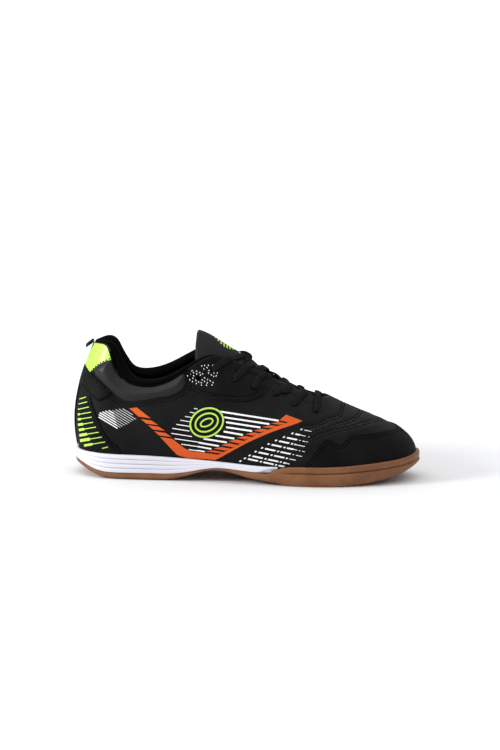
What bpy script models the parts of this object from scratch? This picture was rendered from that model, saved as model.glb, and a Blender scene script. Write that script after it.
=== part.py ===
"""Right indoor soccer shoe, low cut, European size 41, empty and standing on its sole.

The toe points along +X, the outer side of the foot faces -Y, and +Z is up. The origin is on the
floor, under the middle of the heel's flat. Every piece is a sweep of cross-sections along the
same stations round the shoe, so whatever meets another piece reads its place from it.
"""

import math

import bmesh
import bpy
import numpy as np
from mathutils import Vector

# Driving sizes of the shoe, in metres
LENGTH = 0.280
BALL_WIDTH = 0.100
RIM_HEIGHT = 0.0204
HEEL_HEIGHT = 0.1080
INSTEP_HEIGHT = 0.1015
TONGUE_HEIGHT = 0.1190

# Lifts of the outsole's edge off the floor
HEEL_LIFT = 0.0085
ARCH_LIFT = 0.0104
TOE_LIFT = 0.0110

# Walls, layers and clearances
CLEARANCE = 0.0003
OVERLAY_GAP = 0.00045
LINING_GAP = 0.0006
UPPER_WALL = 0.0020
RIM_WIDTH = 0.0036
SEAT_DEPTH = 0.0040
GUM_THICKNESS = 0.0046
OVERLAY_THICKNESS = 0.0009
HEEL_TAB_THICKNESS = 0.0012
COLLAR_PANEL_THICKNESS = 0.0010
COLLAR_PANEL_PUFF = 0.0024
COLLAR_PANEL_GAP = 0.0006
INSOLE_THICKNESS = 0.0042
LINING_PAD = 0.0085
LINING_TAIL = 0.0016
LINING_ROLL = 0.0050
TONGUE_THICKNESS = 0.0052
TONGUE_EDGE = 0.35
LACE_WIDTH = 0.0056
LACE_THICKNESS = 0.0018
EYELET_RADIUS = 0.0019
LOOP_LENGTH = 0.0075
LOOP_WIDTH = 0.0120
LOOP_THICKNESS = 0.0017

# Steps, ribs and grooves of the sole's side
SIDE_GROOVE_DEPTH = 0.0007
SIDE_GROOVE_WIDTH = 0.0009
MIDSOLE_GROOVES = 3
TAIL_THICKNESS = 0.0012
LIP_HEIGHT = 0.0053
LIP_STEP = 0.0008
SOLE_BEVEL = 0.0034

# The flat of the heel has its middle at this share of the length
HEEL_CENTRE = 0.19

STEPS_PER_ROW = 3
UPPER_RINGS = 10
FINE_STEPS_PER_ROW = 6


def table(names, rows):
    """The rows of a table as one list for each named column."""
    return dict(zip(names.split(), map(list, zip(*rows))))


# One row for each section of the sole, from the back of the heel to the toe. x is a share of the
# length and y of the ball width, for the outer and the inner side. rim is a share of the rim
# height, and seat of the seat depth. The lifts are shares of the lifts above, and gum is the
# outsole's visible edge as a share of its thickness, up to where it becomes the toe's cup.
SOLE = table(
    "outer_x outer_y inner_x inner_y rim seat heel arch toe gum",
    [
        (0.000, 0.000, 0.000, 0.000, 1.00, 0.85, 1.00, 0.00, 0.00, 0.76),
        (0.014, 0.170, 0.014, 0.170, 1.00, 0.85, 0.85, 0.00, 0.00, 0.95),
        (0.061, 0.295, 0.061, 0.293, 1.00, 0.85, 0.20, 0.00, 0.00, 1.06),
        (0.118, 0.341, 0.118, 0.334, 0.99, 0.85, 0.00, 0.00, 0.00, 1.12),
        (0.186, 0.353, 0.186, 0.338, 0.98, 0.85, 0.00, 0.00, 0.00, 1.15),
        (0.257, 0.357, 0.257, 0.325, 0.95, 0.85, 0.00, 0.00, 0.00, 1.15),
        (0.329, 0.369, 0.329, 0.306, 0.90, 0.85, 0.00, 0.42, 0.00, 0.70),
        (0.404, 0.393, 0.404, 0.298, 0.85, 0.85, 0.00, 0.96, 0.00, 0.40),
        (0.479, 0.430, 0.479, 0.314, 0.79, 0.85, 0.00, 0.57, 0.00, 1.05),
        (0.557, 0.473, 0.557, 0.358, 0.75, 0.98, 0.00, 0.22, 0.00, 1.55),
        (0.636, 0.508, 0.636, 0.421, 0.79, 1.45, 0.00, 0.00, 0.00, 1.55),
        (0.714, 0.512, 0.714, 0.474, 0.80, 1.80, 0.00, 0.00, 0.00, 1.55),
        (0.796, 0.470, 0.796, 0.482, 0.84, 1.90, 0.00, 0.00, 0.06, 1.55),
        (0.884, 0.372, 0.886, 0.425, 0.92, 1.90, 0.00, 0.00, 0.32, 1.55),
        (0.964, 0.208, 0.967, 0.285, 1.02, 1.80, 0.00, 0.00, 0.76, 1.55),
        (1.000, -0.050, 1.000, 0.050, 1.11, 1.70, 0.00, 0.00, 1.08, 1.55),
    ],
)

# One row for each section of the upper, on the same sections as the sole. The edge is the
# leather's top edge round the collar and the throat: x is a share of the length, y of the ball
# width for each side, and heel and instep are its height as shares of those two heights. From
# the sole each section rises at flare degrees off upright, and it meets the edge at slope degrees
# off level. rise and reach are its two handles as shares of the straight line between them. roll
# is how far the lining rolls over the edge, and inner is how much higher the inner side's edge is.
UPPER = table(
    "x outer_y inner_y heel instep rise flare reach slope roll inner",
    [
        (0.0490, 0.000, 0.000, 0.985, 0.000, 0.33, 17, 0.42, 68, 0.60, 0.000),
        (0.0690, 0.110, 0.110, 0.995, 0.000, 0.33, 16, 0.41, 71, 0.60, 0.000),
        (0.0946, 0.175, 0.175, 0.965, 0.000, 0.33, 14, 0.39, 76, 0.95, 0.012),
        (0.1125, 0.215, 0.215, 0.820, 0.000, 0.33, 12, 0.38, 80, 1.50, 0.012),
        (0.1500, 0.260, 0.255, 0.728, 0.000, 0.33, 12, 0.38, 82, 1.10, 0.004),
        (0.2036, 0.305, 0.290, 0.706, 0.000, 0.33, 12, 0.38, 82, 0.95, 0.006),
        (0.2679, 0.325, 0.305, 0.000, 0.803, 0.33, 12, 0.38, 80, 0.90, 0.008),
        (0.3339, 0.305, 0.285, 0.000, 0.925, 0.33, 12, 0.38, 74, 0.75, 0.006),
        (0.3929, 0.250, 0.235, 0.000, 0.999, 0.33, 11, 0.36, 64, 0.60, 0.006),
        (0.4536, 0.180, 0.180, 0.000, 0.945, 0.32, 10, 0.34, 52, 0.40, 0.006),
        (0.5357, 0.145, 0.155, 0.000, 0.845, 0.31, 9, 0.32, 42, 0.40, -0.010),
        (0.6143, 0.125, 0.140, 0.000, 0.750, 0.30, 7, 0.32, 36, 0.40, -0.018),
        (0.6786, 0.105, 0.125, 0.000, 0.672, 0.30, 6, 0.34, 33, 0.40, -0.008),
        (0.7107, 0.075, 0.100, 0.000, 0.658, 0.30, 6, 0.38, 33, 0.40, 0.000),
        (0.7250, 0.030, 0.065, 0.000, 0.655, 0.32, 6, 0.41, 31, 0.40, 0.000),
        (0.7304, -0.020, 0.020, 0.000, 0.655, 0.33, 6, 0.42, 30, 0.40, 0.000),
    ],
)

TOE_ROW = len(SOLE["rim"]) - 1
LOOP_ROWS = 2 * TOE_ROW
CUP_START_ROW = 9
LINING_END_ROW = 8 + 2 / STEPS_PER_ROW

# Bands that overlays take up on the upper: a row along the shoe, and the band's lower and upper
# edge as shares of the section. A lower edge of 0 stands just above the sole's rim.
TOE_GUARD = table(
    "row low high",
    [
        (10.2, 0.00, 0.09),
        (10.4, 0.00, 0.13),
        (10.9, 0.00, 0.26),
        (11.5, 0.00, 0.40),
        (11.8, 0.00, 0.38),
        (12.1, 0.00, 0.35),
        (12.3, 0.00, 0.39),
        (12.6, 0.00, 0.45),
        (13.2, 0.00, 0.44),
        (13.8, 0.00, 0.42),
        (14.4, 0.00, 0.41),
        (15.0, 0.00, 0.46),
    ],
)
HEEL_COUNTER = table(
    "row low high",
    [
        (0.0, 0.00, 0.72),
        (0.4, 0.00, 0.71),
        (0.8, 0.00, 0.67),
        (1.1, 0.00, 0.58),
        (1.5, 0.00, 0.40),
        (1.9, 0.00, 0.31),
        (2.6, 0.00, 0.19),
        (3.2, 0.00, 0.12),
    ],
)
HEEL_TAB = table(
    "row low high",
    [
        (0.35, 0.79, 1.00),
        (0.80, 0.74, 1.00),
        (1.10, 0.80, 1.00),
        (1.60, 0.86, 0.98),
        (2.05, 0.89, 0.93),
    ],
)
COLLAR_PANEL = table(
    "row low high",
    [
        (1.20, 0.74, 0.77),
        (1.80, 0.70, 0.82),
        (2.30, 0.68, 0.86),
        (2.80, 0.69, 0.90),
        (3.50, 0.73, 0.96),
        (4.10, 0.78, 0.985),
        (4.80, 0.83, 0.99),
        (5.40, 0.85, 1.00),
        (6.00, 0.84, 1.00),
        (6.40, 0.87, 1.00),
        (6.65, 0.94, 1.00),
    ],
)
EYESTAY = table(
    "row low high",
    [
        (6.80, 0.84, 1.00),
        (7.40, 0.68, 1.00),
        (8.40, 0.62, 1.00),
        (9.10, 0.64, 1.00),
        (9.70, 0.72, 1.00),
        (10.1, 0.82, 1.00),
        (10.3, 0.92, 1.00),
    ],
)

# Each pair of eyelets, from the ankle to the toe: its row, and its share of the section. The
# lace starts at the second pair and leaves the first one empty.
EYELETS = table(
    "row share",
    [
        (7.20, 0.86),
        (7.95, 0.88),
        (8.90, 0.82),
        (9.60, 0.78),
        (10.3, 0.78),
        (10.9, 0.76),
        (11.8, 0.76),
    ],
)
FIRST_LACED = 1
NARROWEST_BAND = 0.03

# How far each strand has run towards the next pair of eyelets, as shares of the way: where it
# crosses the throat's edge, on the tongue's ridge, and where it dives under the far side
EDGE_PART = 0.50
RIDGE_PART = 0.74
END_PART = 0.86

# The tongue, from its top to the throat's front: the upper's row beside it, its ridge as shares
# of the length and of the tongue's height, how far its edge stands above the upper's edge and
# how deep its side is tucked in below it, the first in shares of the thickness.
TONGUE = table(
    "row x height stand tuck",
    [
        (7.25, 0.355, 1.000, 1.30, 0.04),
        (7.70, 0.385, 0.972, 0.70, 0.08),
        (8.15, 0.420, 0.920, 0.20, 0.12),
        (8.60, 0.455, 0.870, 0.00, 0.16),
        (9.10, 0.490, 0.826, 0.00, 0.18),
        (9.60, 0.525, 0.755, 0.00, 0.18),
        (10.2, 0.565, 0.685, 0.00, 0.18),
        (10.8, 0.610, 0.622, 0.00, 0.18),
        (11.4, 0.650, 0.575, 0.00, 0.17),
        (12.0, 0.690, 0.540, 0.00, 0.16),
    ],
)


def closed_spline(values):
    """A smooth periodic curve through one value for each row round the shoe."""
    values = np.array(values, float)
    count = len(values)
    system = np.zeros((count, count))
    right = np.zeros(count)
    for i in range(count):
        following = (i + 1) % count
        system[i, i - 1] += 1
        system[i, i] += 4
        system[i, following] += 1
        right[i] = 6 * (values[i - 1] - 2 * values[i] + values[following])
    second = np.linalg.solve(system, right)

    def value(row):
        whole = math.floor(row)
        t = row - whole
        a = whole % count
        b = (whole + 1) % count
        s = 1 - t
        line = s * values[a] + t * values[b]
        return line + ((s**3 - s) * second[a] + (t**3 - t) * second[b]) / 6

    return value


def both_sides(outer, inner):
    """A smooth curve of one column: the outer side from heel to toe, then the inner side back."""
    return closed_spline(list(outer) + list(inner)[-2:0:-1])


def along_rows(column, rows):
    """A smooth open curve through a column at its row numbers, level past both ends."""
    column = np.array(column, float)
    rows = np.array(rows, float)
    tangents = np.gradient(column, rows)

    def value(row):
        row = min(max(row, rows[0]), rows[-1])
        i = min(int(np.searchsorted(rows, row, "right")) - 1, len(rows) - 2)
        gap = rows[i + 1] - rows[i]
        t = (row - rows[i]) / gap
        s = 1 - t
        start = s * s * ((1 + 2 * t) * column[i] + t * gap * tangents[i])
        end = t * t * ((1 + 2 * s) * column[i + 1] - s * gap * tangents[i + 1])
        return float(start + end)

    return value


def length_share(share):
    return (share - HEEL_CENTRE) * LENGTH


def scaled(column, size):
    return [share * size for share in column]


def curve_of(table_rows, name, size):
    """A curve of a column that both sides of the shoe share."""
    column = scaled(table_rows[name], size)
    return both_sides(column, column)


outline_x = both_sides(
    [length_share(s) for s in SOLE["outer_x"]],
    [length_share(s) for s in SOLE["inner_x"]],
)
outline_y = both_sides(
    scaled(SOLE["outer_y"], -BALL_WIDTH),
    scaled(SOLE["inner_y"], BALL_WIDTH),
)
rim_height = curve_of(SOLE, "rim", RIM_HEIGHT)
seat_depth = curve_of(SOLE, "seat", SEAT_DEPTH)
gum_edge = curve_of(SOLE, "gum", GUM_THICKNESS)
lift_rows = [
    heel * HEEL_LIFT + arch * ARCH_LIFT + toe * TOE_LIFT
    for heel, arch, toe in zip(SOLE["heel"], SOLE["arch"], SOLE["toe"])
]
lift_curve = both_sides(lift_rows, lift_rows)

edge_rows = [
    heel * HEEL_HEIGHT + instep * INSTEP_HEIGHT
    for heel, instep in zip(UPPER["heel"], UPPER["instep"])
]
edge_x = both_sides(
    [length_share(s) for s in UPPER["x"]], [length_share(s) for s in UPPER["x"]]
)
edge_y = both_sides(
    scaled(UPPER["outer_y"], -BALL_WIDTH), scaled(UPPER["inner_y"], BALL_WIDTH)
)
edge_z = both_sides(
    edge_rows,
    [height + INSTEP_HEIGHT * more for height, more in zip(edge_rows, UPPER["inner"])],
)
rise = curve_of(UPPER, "rise", 1)
flare = curve_of(UPPER, "flare", math.radians(1))
reach = curve_of(UPPER, "reach", 1)
slope = curve_of(UPPER, "slope", math.radians(1))
lining_roll = curve_of(UPPER, "roll", LINING_ROLL)


def lift(row):
    return max(0.0, lift_curve(row))


def seat_height(row):
    """The floor of the shoe's cup, which the upper and the insole stand on."""
    return rim_height(row) - seat_depth(row)


def row_from_heel(row):
    """The row of the same section counted from the heel, whichever side it's on."""
    return min(row % LOOP_ROWS, LOOP_ROWS - row % LOOP_ROWS)


def gum_height(row):
    """The top of the outsole's visible edge: low under the midsole, the full rim at the toe."""
    under = lift(row) + gum_edge(row)
    past = row_from_heel(row) - CUP_START_ROW
    if past <= 0:
        return under
    if past * STEPS_PER_ROW < 1.5:
        return rim_height(row) - TAIL_THICKNESS
    return rim_height(row)


def gum_floor(row):
    """The outsole's top under the midsole, which stays below the cup's floor."""
    return min(gum_height(row), seat_height(row) - TAIL_THICKNESS)


def outward(row):
    """The level direction straight out of the outline."""
    step = 1e-3
    tangent = Vector(
        (
            outline_x(row + step) - outline_x(row - step),
            outline_y(row + step) - outline_y(row - step),
            0,
        )
    )
    return Vector((tangent.y, -tangent.x, 0)).normalized()


def side_point(row, inset, height):
    """A point of the sole, inset from its outline."""
    n = outward(row)
    return Vector(
        (outline_x(row) - n.x * inset, outline_y(row) - n.y * inset, height)
    )


def edge_point(row):
    return Vector((edge_x(row), edge_y(row), edge_z(row)))


def section_point(row, share):
    """A point on the upper's outer face: share 0 is at the sole, and 1 is at the top edge."""
    n = outward(row)
    start = side_point(row, RIM_WIDTH, seat_height(row) + CLEARANCE)
    end = edge_point(row)
    chord = (end - start).length
    lean = flare(row)
    fall = slope(row)
    first = start + (n * math.sin(lean) + Vector((0, 0, math.cos(lean)))) * (
        rise(row) * chord
    )
    last = end + (n * math.cos(fall) - Vector((0, 0, math.sin(fall)))) * (
        reach(row) * chord
    )
    s = 1 - share
    return (
        start * s**3
        + first * (3 * s * s * share)
        + last * (3 * s * share * share)
        + end * share**3
    )


def upper_normal(row, share):
    step = 2e-3
    low = max(share - step, 0)
    high = min(share + step, 1)
    along = section_point(row + step, share) - section_point(row - step, share)
    up = section_point(row, high) - section_point(row, low)
    return along.cross(up).normalized()


def upper_point(row, share, out=0.0):
    """A point at a distance out of the upper's outer face, or inside it where out is negative."""
    return section_point(row, share) + upper_normal(row, share) * out


def share_at_height(row, height):
    """The share of the section at which the upper's outer face reaches a height."""
    low = 0.0
    high = 0.6
    for _ in range(30):
        middle = (low + high) / 2
        if section_point(row, middle).z < height:
            low = middle
        else:
            high = middle
    return (low + high) / 2


def material(name, colour, roughness, metallic=0.0):
    found = bpy.data.materials.get(name)
    if found:
        return found
    made = bpy.data.materials.new(name)
    made.use_nodes = True
    shader = made.node_tree.nodes["Principled BSDF"]
    shader.inputs["Base Color"].default_value = (*colour, 1)
    shader.inputs["Roughness"].default_value = roughness
    shader.inputs["Metallic"].default_value = metallic
    return made


def finish(name, bm, finish_material, sharp_degrees=35):
    """Puts a finished bmesh into the scene as one named object."""
    bmesh.ops.remove_doubles(bm, verts=bm.verts, dist=1e-6)
    bmesh.ops.dissolve_degenerate(bm, edges=bm.edges, dist=1e-6)
    bmesh.ops.recalc_face_normals(bm, faces=bm.faces)
    if bm.calc_volume(signed=True) < 0:
        bmesh.ops.reverse_faces(bm, faces=bm.faces)
    mesh = bpy.data.meshes.new(name)
    bm.to_mesh(mesh)
    bm.free()
    mesh.shade_smooth()
    mesh.set_sharp_from_angle(angle=math.radians(sharp_degrees))
    made = bpy.data.objects.new(name, mesh)
    made.data.materials.append(finish_material)
    bpy.context.scene.collection.objects.link(made)
    return made


def sweep(bm, profiles, closed=False):
    """Extrudes a closed profile from each station to the next, and caps or joins the ends."""
    verts = [bm.verts.new(p) for p in profiles[0]]
    edges = [
        bm.edges.new((verts[i], verts[(i + 1) % len(verts)]))
        for i in range(len(verts))
    ]
    first = verts
    for profile in profiles[1:]:
        made = bmesh.ops.extrude_edge_only(bm, edges=edges)["geom"]
        fresh = [g for g in made if isinstance(g, bmesh.types.BMVert)]
        partner = {}
        for vert in fresh:
            for edge in vert.link_edges:
                other = edge.other_vert(vert)
                if other in verts:
                    partner[other] = vert
        following = [partner[v] for v in verts]
        for vert, place in zip(following, profile):
            vert.co = place
        edges = [
            bm.edges.get((following[i], following[(i + 1) % len(following)]))
            for i in range(len(following))
        ]
        verts = following
    if closed:
        bmesh.ops.remove_doubles(bm, verts=bm.verts, dist=1e-6)
    else:
        bm.faces.new(first)
        bm.faces.new(list(reversed(verts)))


def swept(name, profiles, finish_material, closed=False, sharp_degrees=35):
    bm = bmesh.new()
    sweep(bm, profiles, closed)
    return finish(name, bm, finish_material, sharp_degrees)


def stations(first, last, per_row=STEPS_PER_ROW):
    """Evenly spaced row numbers from first to last, both included."""
    count = max(1, round((last - first) * per_row))
    return [first + (last - first) * i / count for i in range(count + 1)]


def shared_stations(first, last, per_row=STEPS_PER_ROW):
    """The upper's own stations between two rows, with the two rows as the ends."""
    low = math.ceil(first * per_row + 0.1)
    high = math.floor(last * per_row - 0.1)
    return [first] + [i / per_row for i in range(low, high + 1)] + [last]


def across(row, side):
    """One cross-section of the sole: a side's points on the outer side, then on the inner."""
    return side(row) + list(reversed(side(LOOP_ROWS - row)))


def foot_of_rim(row):
    return upper_point(row, 0, CLEARANCE)


def top_of_rim(row):
    height = rim_height(row)
    place = upper_point(row, share_at_height(row, height), CLEARANCE)
    place.z = height
    return place


def outsole_side(row):
    """The outsole's side, from the tread to the floor of the cup."""
    bottom = lift(row)
    top = gum_height(row)
    points = [
        side_point(row, 2.4 * SOLE_BEVEL, bottom),
        side_point(row, SOLE_BEVEL, bottom),
        side_point(row, 0.28 * SOLE_BEVEL, bottom + 0.22 * (top - bottom)),
    ]
    if row_from_heel(row) > CUP_START_ROW + 0.5:
        groove = top - LIP_HEIGHT
        points += [
            side_point(row, 0.0, bottom + 0.62 * (groove - bottom)),
            side_point(row, LIP_STEP * 0.3, groove - SIDE_GROOVE_WIDTH),
            side_point(row, LIP_STEP + SIDE_GROOVE_DEPTH, groove),
            side_point(row, LIP_STEP * 0.4, groove + SIDE_GROOVE_WIDTH),
            side_point(row, LIP_STEP * 0.4, top - SIDE_GROOVE_WIDTH),
            side_point(row, LIP_STEP * 1.2, top),
            top_of_rim(row),
            foot_of_rim(row),
        ]
        points[-1].z = seat_height(row)
    else:
        points += [
            side_point(row, 0.05 * SOLE_BEVEL, bottom + 0.45 * (top - bottom)),
            side_point(row, 0.0, bottom + 0.60 * (top - bottom)),
            side_point(row, 0.0, bottom + 0.72 * (top - bottom)),
            side_point(row, 0.0, bottom + 0.84 * (top - bottom)),
            side_point(row, 0.0, top - 0.0004),
            side_point(row, 0.0004, top),
            side_point(row, 0.6 * RIM_WIDTH, gum_floor(row)),
            side_point(row, 2 * RIM_WIDTH, gum_floor(row)),
        ]
    return points


def make_outsole():
    gum = material("gum_rubber", (0.29, 0.13, 0.055), 0.45)
    profiles = [across(row, outsole_side) for row in stations(0, TOE_ROW)]
    return swept("outsole", profiles, gum)


def midsole_side(row):
    """The white wedge's side, with its moulded grooves, from the outsole to the cup's floor."""
    bottom = gum_height(row) + CLEARANCE
    top = rim_height(row)
    band = (top - bottom) / (MIDSOLE_GROOVES + 1)
    fade = along_rows([1.0, 1.0, 0.15, 0.0], [0, 5, 7.5, CUP_START_ROW])
    depth = SIDE_GROOVE_DEPTH * fade(row_from_heel(row))
    half = SIDE_GROOVE_WIDTH / 2 * min(1, band / (3 * SIDE_GROOVE_WIDTH))
    points = [
        side_point(row, 2 * RIM_WIDTH, gum_floor(row) + CLEARANCE),
        side_point(row, 0.6 * RIM_WIDTH, gum_floor(row) + CLEARANCE),
        side_point(row, 0.0006, bottom),
        side_point(row, 0.0002, bottom + 0.3 * half),
    ]
    for groove in range(1, MIDSOLE_GROOVES + 1):
        height = bottom + groove * band
        points += [
            side_point(row, 0.0, height - half),
            side_point(row, depth, height),
            side_point(row, 0.0, height + half),
        ]
    points += [
        side_point(row, 0.0002, top - 0.7 * half),
        side_point(row, 0.0008, top),
        top_of_rim(row),
        foot_of_rim(row),
    ]
    points[-1].z = seat_height(row)
    return points


def make_midsole():
    foam = material("white_foam", (0.80, 0.80, 0.84), 0.5)
    rows = stations(0, CUP_START_ROW + 1 / STEPS_PER_ROW)
    return swept("midsole", [across(row, midsole_side) for row in rows], foam)


# Shares of the section at which the upper has its rings, closer together near the sole
RING_SHARES = [(i / (UPPER_RINGS - 1)) ** 1.2 for i in range(UPPER_RINGS)]


def make_upper():
    leather = material("black_synthetic", (0.014, 0.014, 0.015), 0.55)
    profiles = []
    for row in stations(0, LOOP_ROWS):
        outer = [upper_point(row, s) for s in RING_SHARES]
        inner = [upper_point(row, s, -UPPER_WALL) for s in RING_SHARES]
        profiles.append(outer + inner[::-1])
    return swept("upper", profiles, leather, closed=True)


def insole_side(row):
    """The insole's edge, which stands inside the upper's wall."""
    away = -(UPPER_WALL + 1.5 * CLEARANCE)
    low = seat_height(row) + CLEARANCE
    bottom = upper_point(row, 0, away)
    bottom.z = low
    top = upper_point(row, share_at_height(row, low + INSOLE_THICKNESS), away)
    top.z = low + INSOLE_THICKNESS
    inner = top - outward(row) * (3 * INSOLE_THICKNESS)
    inner.z = low + 0.8 * INSOLE_THICKNESS
    return [bottom, top, inner]


def make_insole():
    foam = material("insole_fabric", (0.03, 0.03, 0.032), 0.9)
    rows = stations(0, TOE_ROW)
    return swept("insole", [across(row, insole_side) for row in rows], foam)


def above_rim(row):
    """The share of the section just above the sole's rim."""
    return share_at_height(row, rim_height(row) + 2 * CLEARANCE)


def band_profile(band, place, thickness, rings, puff=0.0, gap=OVERLAY_GAP):
    """The section of an overlay that lies on the upper, between its band's two edges."""
    side = row_from_heel(place)
    low = max(along_rows(band["low"], band["row"])(side), above_rim(place))
    high = max(along_rows(band["high"], band["row"])(side), low + NARROWEST_BAND)
    under = []
    over = []
    for i in range(rings):
        across_band = i / (rings - 1)
        share = low + (high - low) * across_band
        crown = puff * math.sin(math.pi * across_band) * min(1, (high - low) / 0.12)
        under.append(upper_point(place, share, gap))
        over.append(upper_point(place, share, gap + thickness + crown))
    return under + over[::-1]


def side_overlays(name, band, per_row, finish_material, *layer):
    """One overlay on the outer side of the shoe, and its like on the inner side."""
    rows = shared_stations(band["row"][0], band["row"][-1], per_row)
    outer = [band_profile(band, row, *layer) for row in rows]
    inner = [band_profile(band, LOOP_ROWS - row, *layer) for row in rows]
    swept(f"{name}_outer", outer, finish_material)
    swept(f"{name}_inner", inner, finish_material)


def wrap_overlay(name, band, per_row, finish_material, thickness, rings, centre):
    """One overlay that goes round the heel, or round the toe."""
    half = abs(centre - band["row"][0]) or band["row"][-1]
    rows = shared_stations(centre - half, centre + half, per_row)
    profiles = [
        band_profile(band, row % LOOP_ROWS, thickness, rings) for row in rows
    ]
    swept(name, profiles, finish_material)


def make_overlays():
    leather = material("black_overlay", (0.016, 0.016, 0.017), 0.5)
    smooth = material("smooth_collar_leather", (0.030, 0.028, 0.032), 0.35)
    lime = material("lime_patent", (0.52, 0.90, 0.11), 0.25)
    fine = FINE_STEPS_PER_ROW
    coarse = STEPS_PER_ROW
    thick = OVERLAY_THICKNESS
    wrap_overlay("toe_guard", TOE_GUARD, fine, leather, thick, 5, TOE_ROW)
    wrap_overlay("heel_counter", HEEL_COUNTER, coarse, leather, thick, 8, 0)
    side_overlays("heel_tab", HEEL_TAB, coarse, lime, HEEL_TAB_THICKNESS, 3)
    side_overlays("eyestay", EYESTAY, fine, leather, thick, 4)
    panel = COLLAR_PANEL_THICKNESS
    puff = COLLAR_PANEL_PUFF
    gap = COLLAR_PANEL_GAP
    side_overlays("collar_panel", COLLAR_PANEL, coarse, smooth, panel, 5, puff, gap)


def lining_profile(row, taper):
    """The padded lining's section: it rolls over the edge and hangs down inside the wall."""
    step = 1e-3
    at = edge_point(row)
    along = (edge_point(row + step) - edge_point(row - step)).normalized()
    n = upper_normal(row, 1.0)
    up = n.cross(along).normalized()
    pad = LINING_PAD * taper
    roll = lining_roll(row) * taper
    away = UPPER_WALL + LINING_GAP
    tail = LINING_TAIL

    def over(out, height):
        return at + n * out + up * height

    def inside(share, depth):
        return upper_point(row, share, -depth)

    return [
        over(0.0002, CLEARANCE),
        over(0.0006, 0.5 * roll),
        over(-0.25 * pad, roll),
        over(-0.75 * pad, 0.96 * roll),
        over(-1.15 * pad - away, 0.45 * roll),
        inside(RING_SHARES[-1], away + pad),
        inside(RING_SHARES[-2], away + 0.8 * pad),
        inside(RING_SHARES[-3], away + tail),
        inside(RING_SHARES[-3], away),
        inside(RING_SHARES[-2], away),
        inside(RING_SHARES[-1], away),
        over(-away, LINING_GAP),
    ]


LINING_TAPER = along_rows([1.0, 1.0, 0.25], [0, 6.3, LINING_END_ROW])


def make_lining():
    textile = material("collar_textile", (0.012, 0.012, 0.013), 0.9)
    rows = stations(-LINING_END_ROW, LINING_END_ROW)
    profiles = [lining_profile(row % LOOP_ROWS, LINING_TAPER(abs(row))) for row in rows]
    return swept("collar_lining", profiles, textile)


def tongue_clearance(row):
    """How far inside the upper's outer face the tongue's side stays, clear of the lining."""
    lining = 0.0
    if row < LINING_END_ROW + 0.5:
        lining = 1.4 * LINING_PAD * LINING_TAPER(row)
    return UPPER_WALL + lining + 3 * CLEARANCE


def tongue_side(place, stand, tuck, deep):
    """The tongue's side, from its tucked edge up to where it meets the arch over the foot."""
    away = tongue_clearance(row_from_heel(place)) + deep
    rise_up = Vector((0, 0, stand * TONGUE_THICKNESS))
    return [
        upper_point(place, 1 - tuck, -away),
        upper_point(place, 1 - tuck / 2, -away) + rise_up / 2,
        upper_point(place, 1, -away) + rise_up,
    ]


TONGUE_CURVES = {name: along_rows(TONGUE[name], TONGUE["row"]) for name in TONGUE}


def tongue_lean(row):
    """How far the tongue's ridge leans back from level, as an angle."""
    step = 0.2
    climb = TONGUE_CURVES["height"](row - step) - TONGUE_CURVES["height"](row + step)
    ahead = TONGUE_CURVES["x"](row + step) - TONGUE_CURVES["x"](row - step)
    return math.atan2(climb * TONGUE_HEIGHT, ahead * LENGTH)


def tongue_up(row):
    """The direction straight out of the tongue's ridge."""
    lean = tongue_lean(row)
    return Vector((math.sin(lean), 0, math.cos(lean)))


def tongue_crest(row, deep=0.0):
    middle = (edge_y(row) + edge_y(LOOP_ROWS - row)) / 2
    height = TONGUE_CURVES["height"](row) * TONGUE_HEIGHT
    crest = Vector((length_share(TONGUE_CURVES["x"](row)), middle, height))
    return crest - tongue_up(row) * deep


def tongue_arch(row, side, share, deep=0.0):
    """A point of the arch between the ridge, at share 0, and the side, at share 1."""
    crest = tongue_crest(row, deep)
    place = crest.lerp(side, share)
    bow = 1 - share**2.2
    place.z = crest.z * bow + side.z * (1 - bow)
    return place


def tongue_line(row, deep=0.0):
    """One face of the tongue across the foot, from the outer side to the inner side."""
    stand = TONGUE_CURVES["stand"](row)
    tuck = TONGUE_CURVES["tuck"](row)
    outer = tongue_side(row, stand, tuck, deep * TONGUE_EDGE)
    inner = tongue_side(LOOP_ROWS - row, stand, tuck, deep * TONGUE_EDGE)
    arch = [tongue_arch(row, outer[-1], share, deep) for share in (0.75, 0.4, 0.0)]
    arch += [tongue_arch(row, inner[-1], share, deep) for share in (0.4, 0.75)]
    return outer + arch + inner[::-1]


def tongue_profiles():
    profiles = []
    for row in stations(TONGUE["row"][0], TONGUE["row"][-1], 3):
        over = tongue_line(row)
        under = tongue_line(row, TONGUE_THICKNESS)
        profiles.append(over + under[::-1])
    return profiles


def tongue_top():
    """The tongue's rounded top end, drawn in from its first section."""
    row = TONGUE["row"][0]
    profile = tongue_profiles()[0]
    centre = tongue_crest(row, TONGUE_THICKNESS / 2)
    lean = tongue_lean(row)
    back = Vector((-math.cos(lean), 0, math.sin(lean))) * (0.45 * TONGUE_THICKNESS)
    ends = []
    for place in profile:
        drawn = centre.lerp(place, 0.80)
        drawn.y = centre.y + (place.y - centre.y) * 0.86
        ends.append(drawn + back)
    return ends


def tongue_tip():
    """The tongue's thin front end, under the vamp."""
    away = UPPER_WALL + 3 * CLEARANCE
    places = (12.3, 12.6, 12.9, 13.3, 14.0, 15.0, 16.0, 16.7, 17.1, 17.4, 17.7)
    shares = (0.80, 0.83, 0.86, 0.88, 0.90, 0.90, 0.90, 0.88, 0.86, 0.83, 0.80)
    over = [upper_point(p, s, -away) for p, s in zip(places, shares)]
    thin = TONGUE_EDGE * TONGUE_THICKNESS
    under = [upper_point(p, s, -away - thin) for p, s in zip(places, shares)]
    return over + under[::-1]


def make_tongue():
    leather = material("tongue_leather", (0.022, 0.022, 0.024), 0.5)
    profiles = [tongue_top()] + tongue_profiles() + [tongue_tip()]
    return swept("tongue", profiles, leather)


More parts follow.
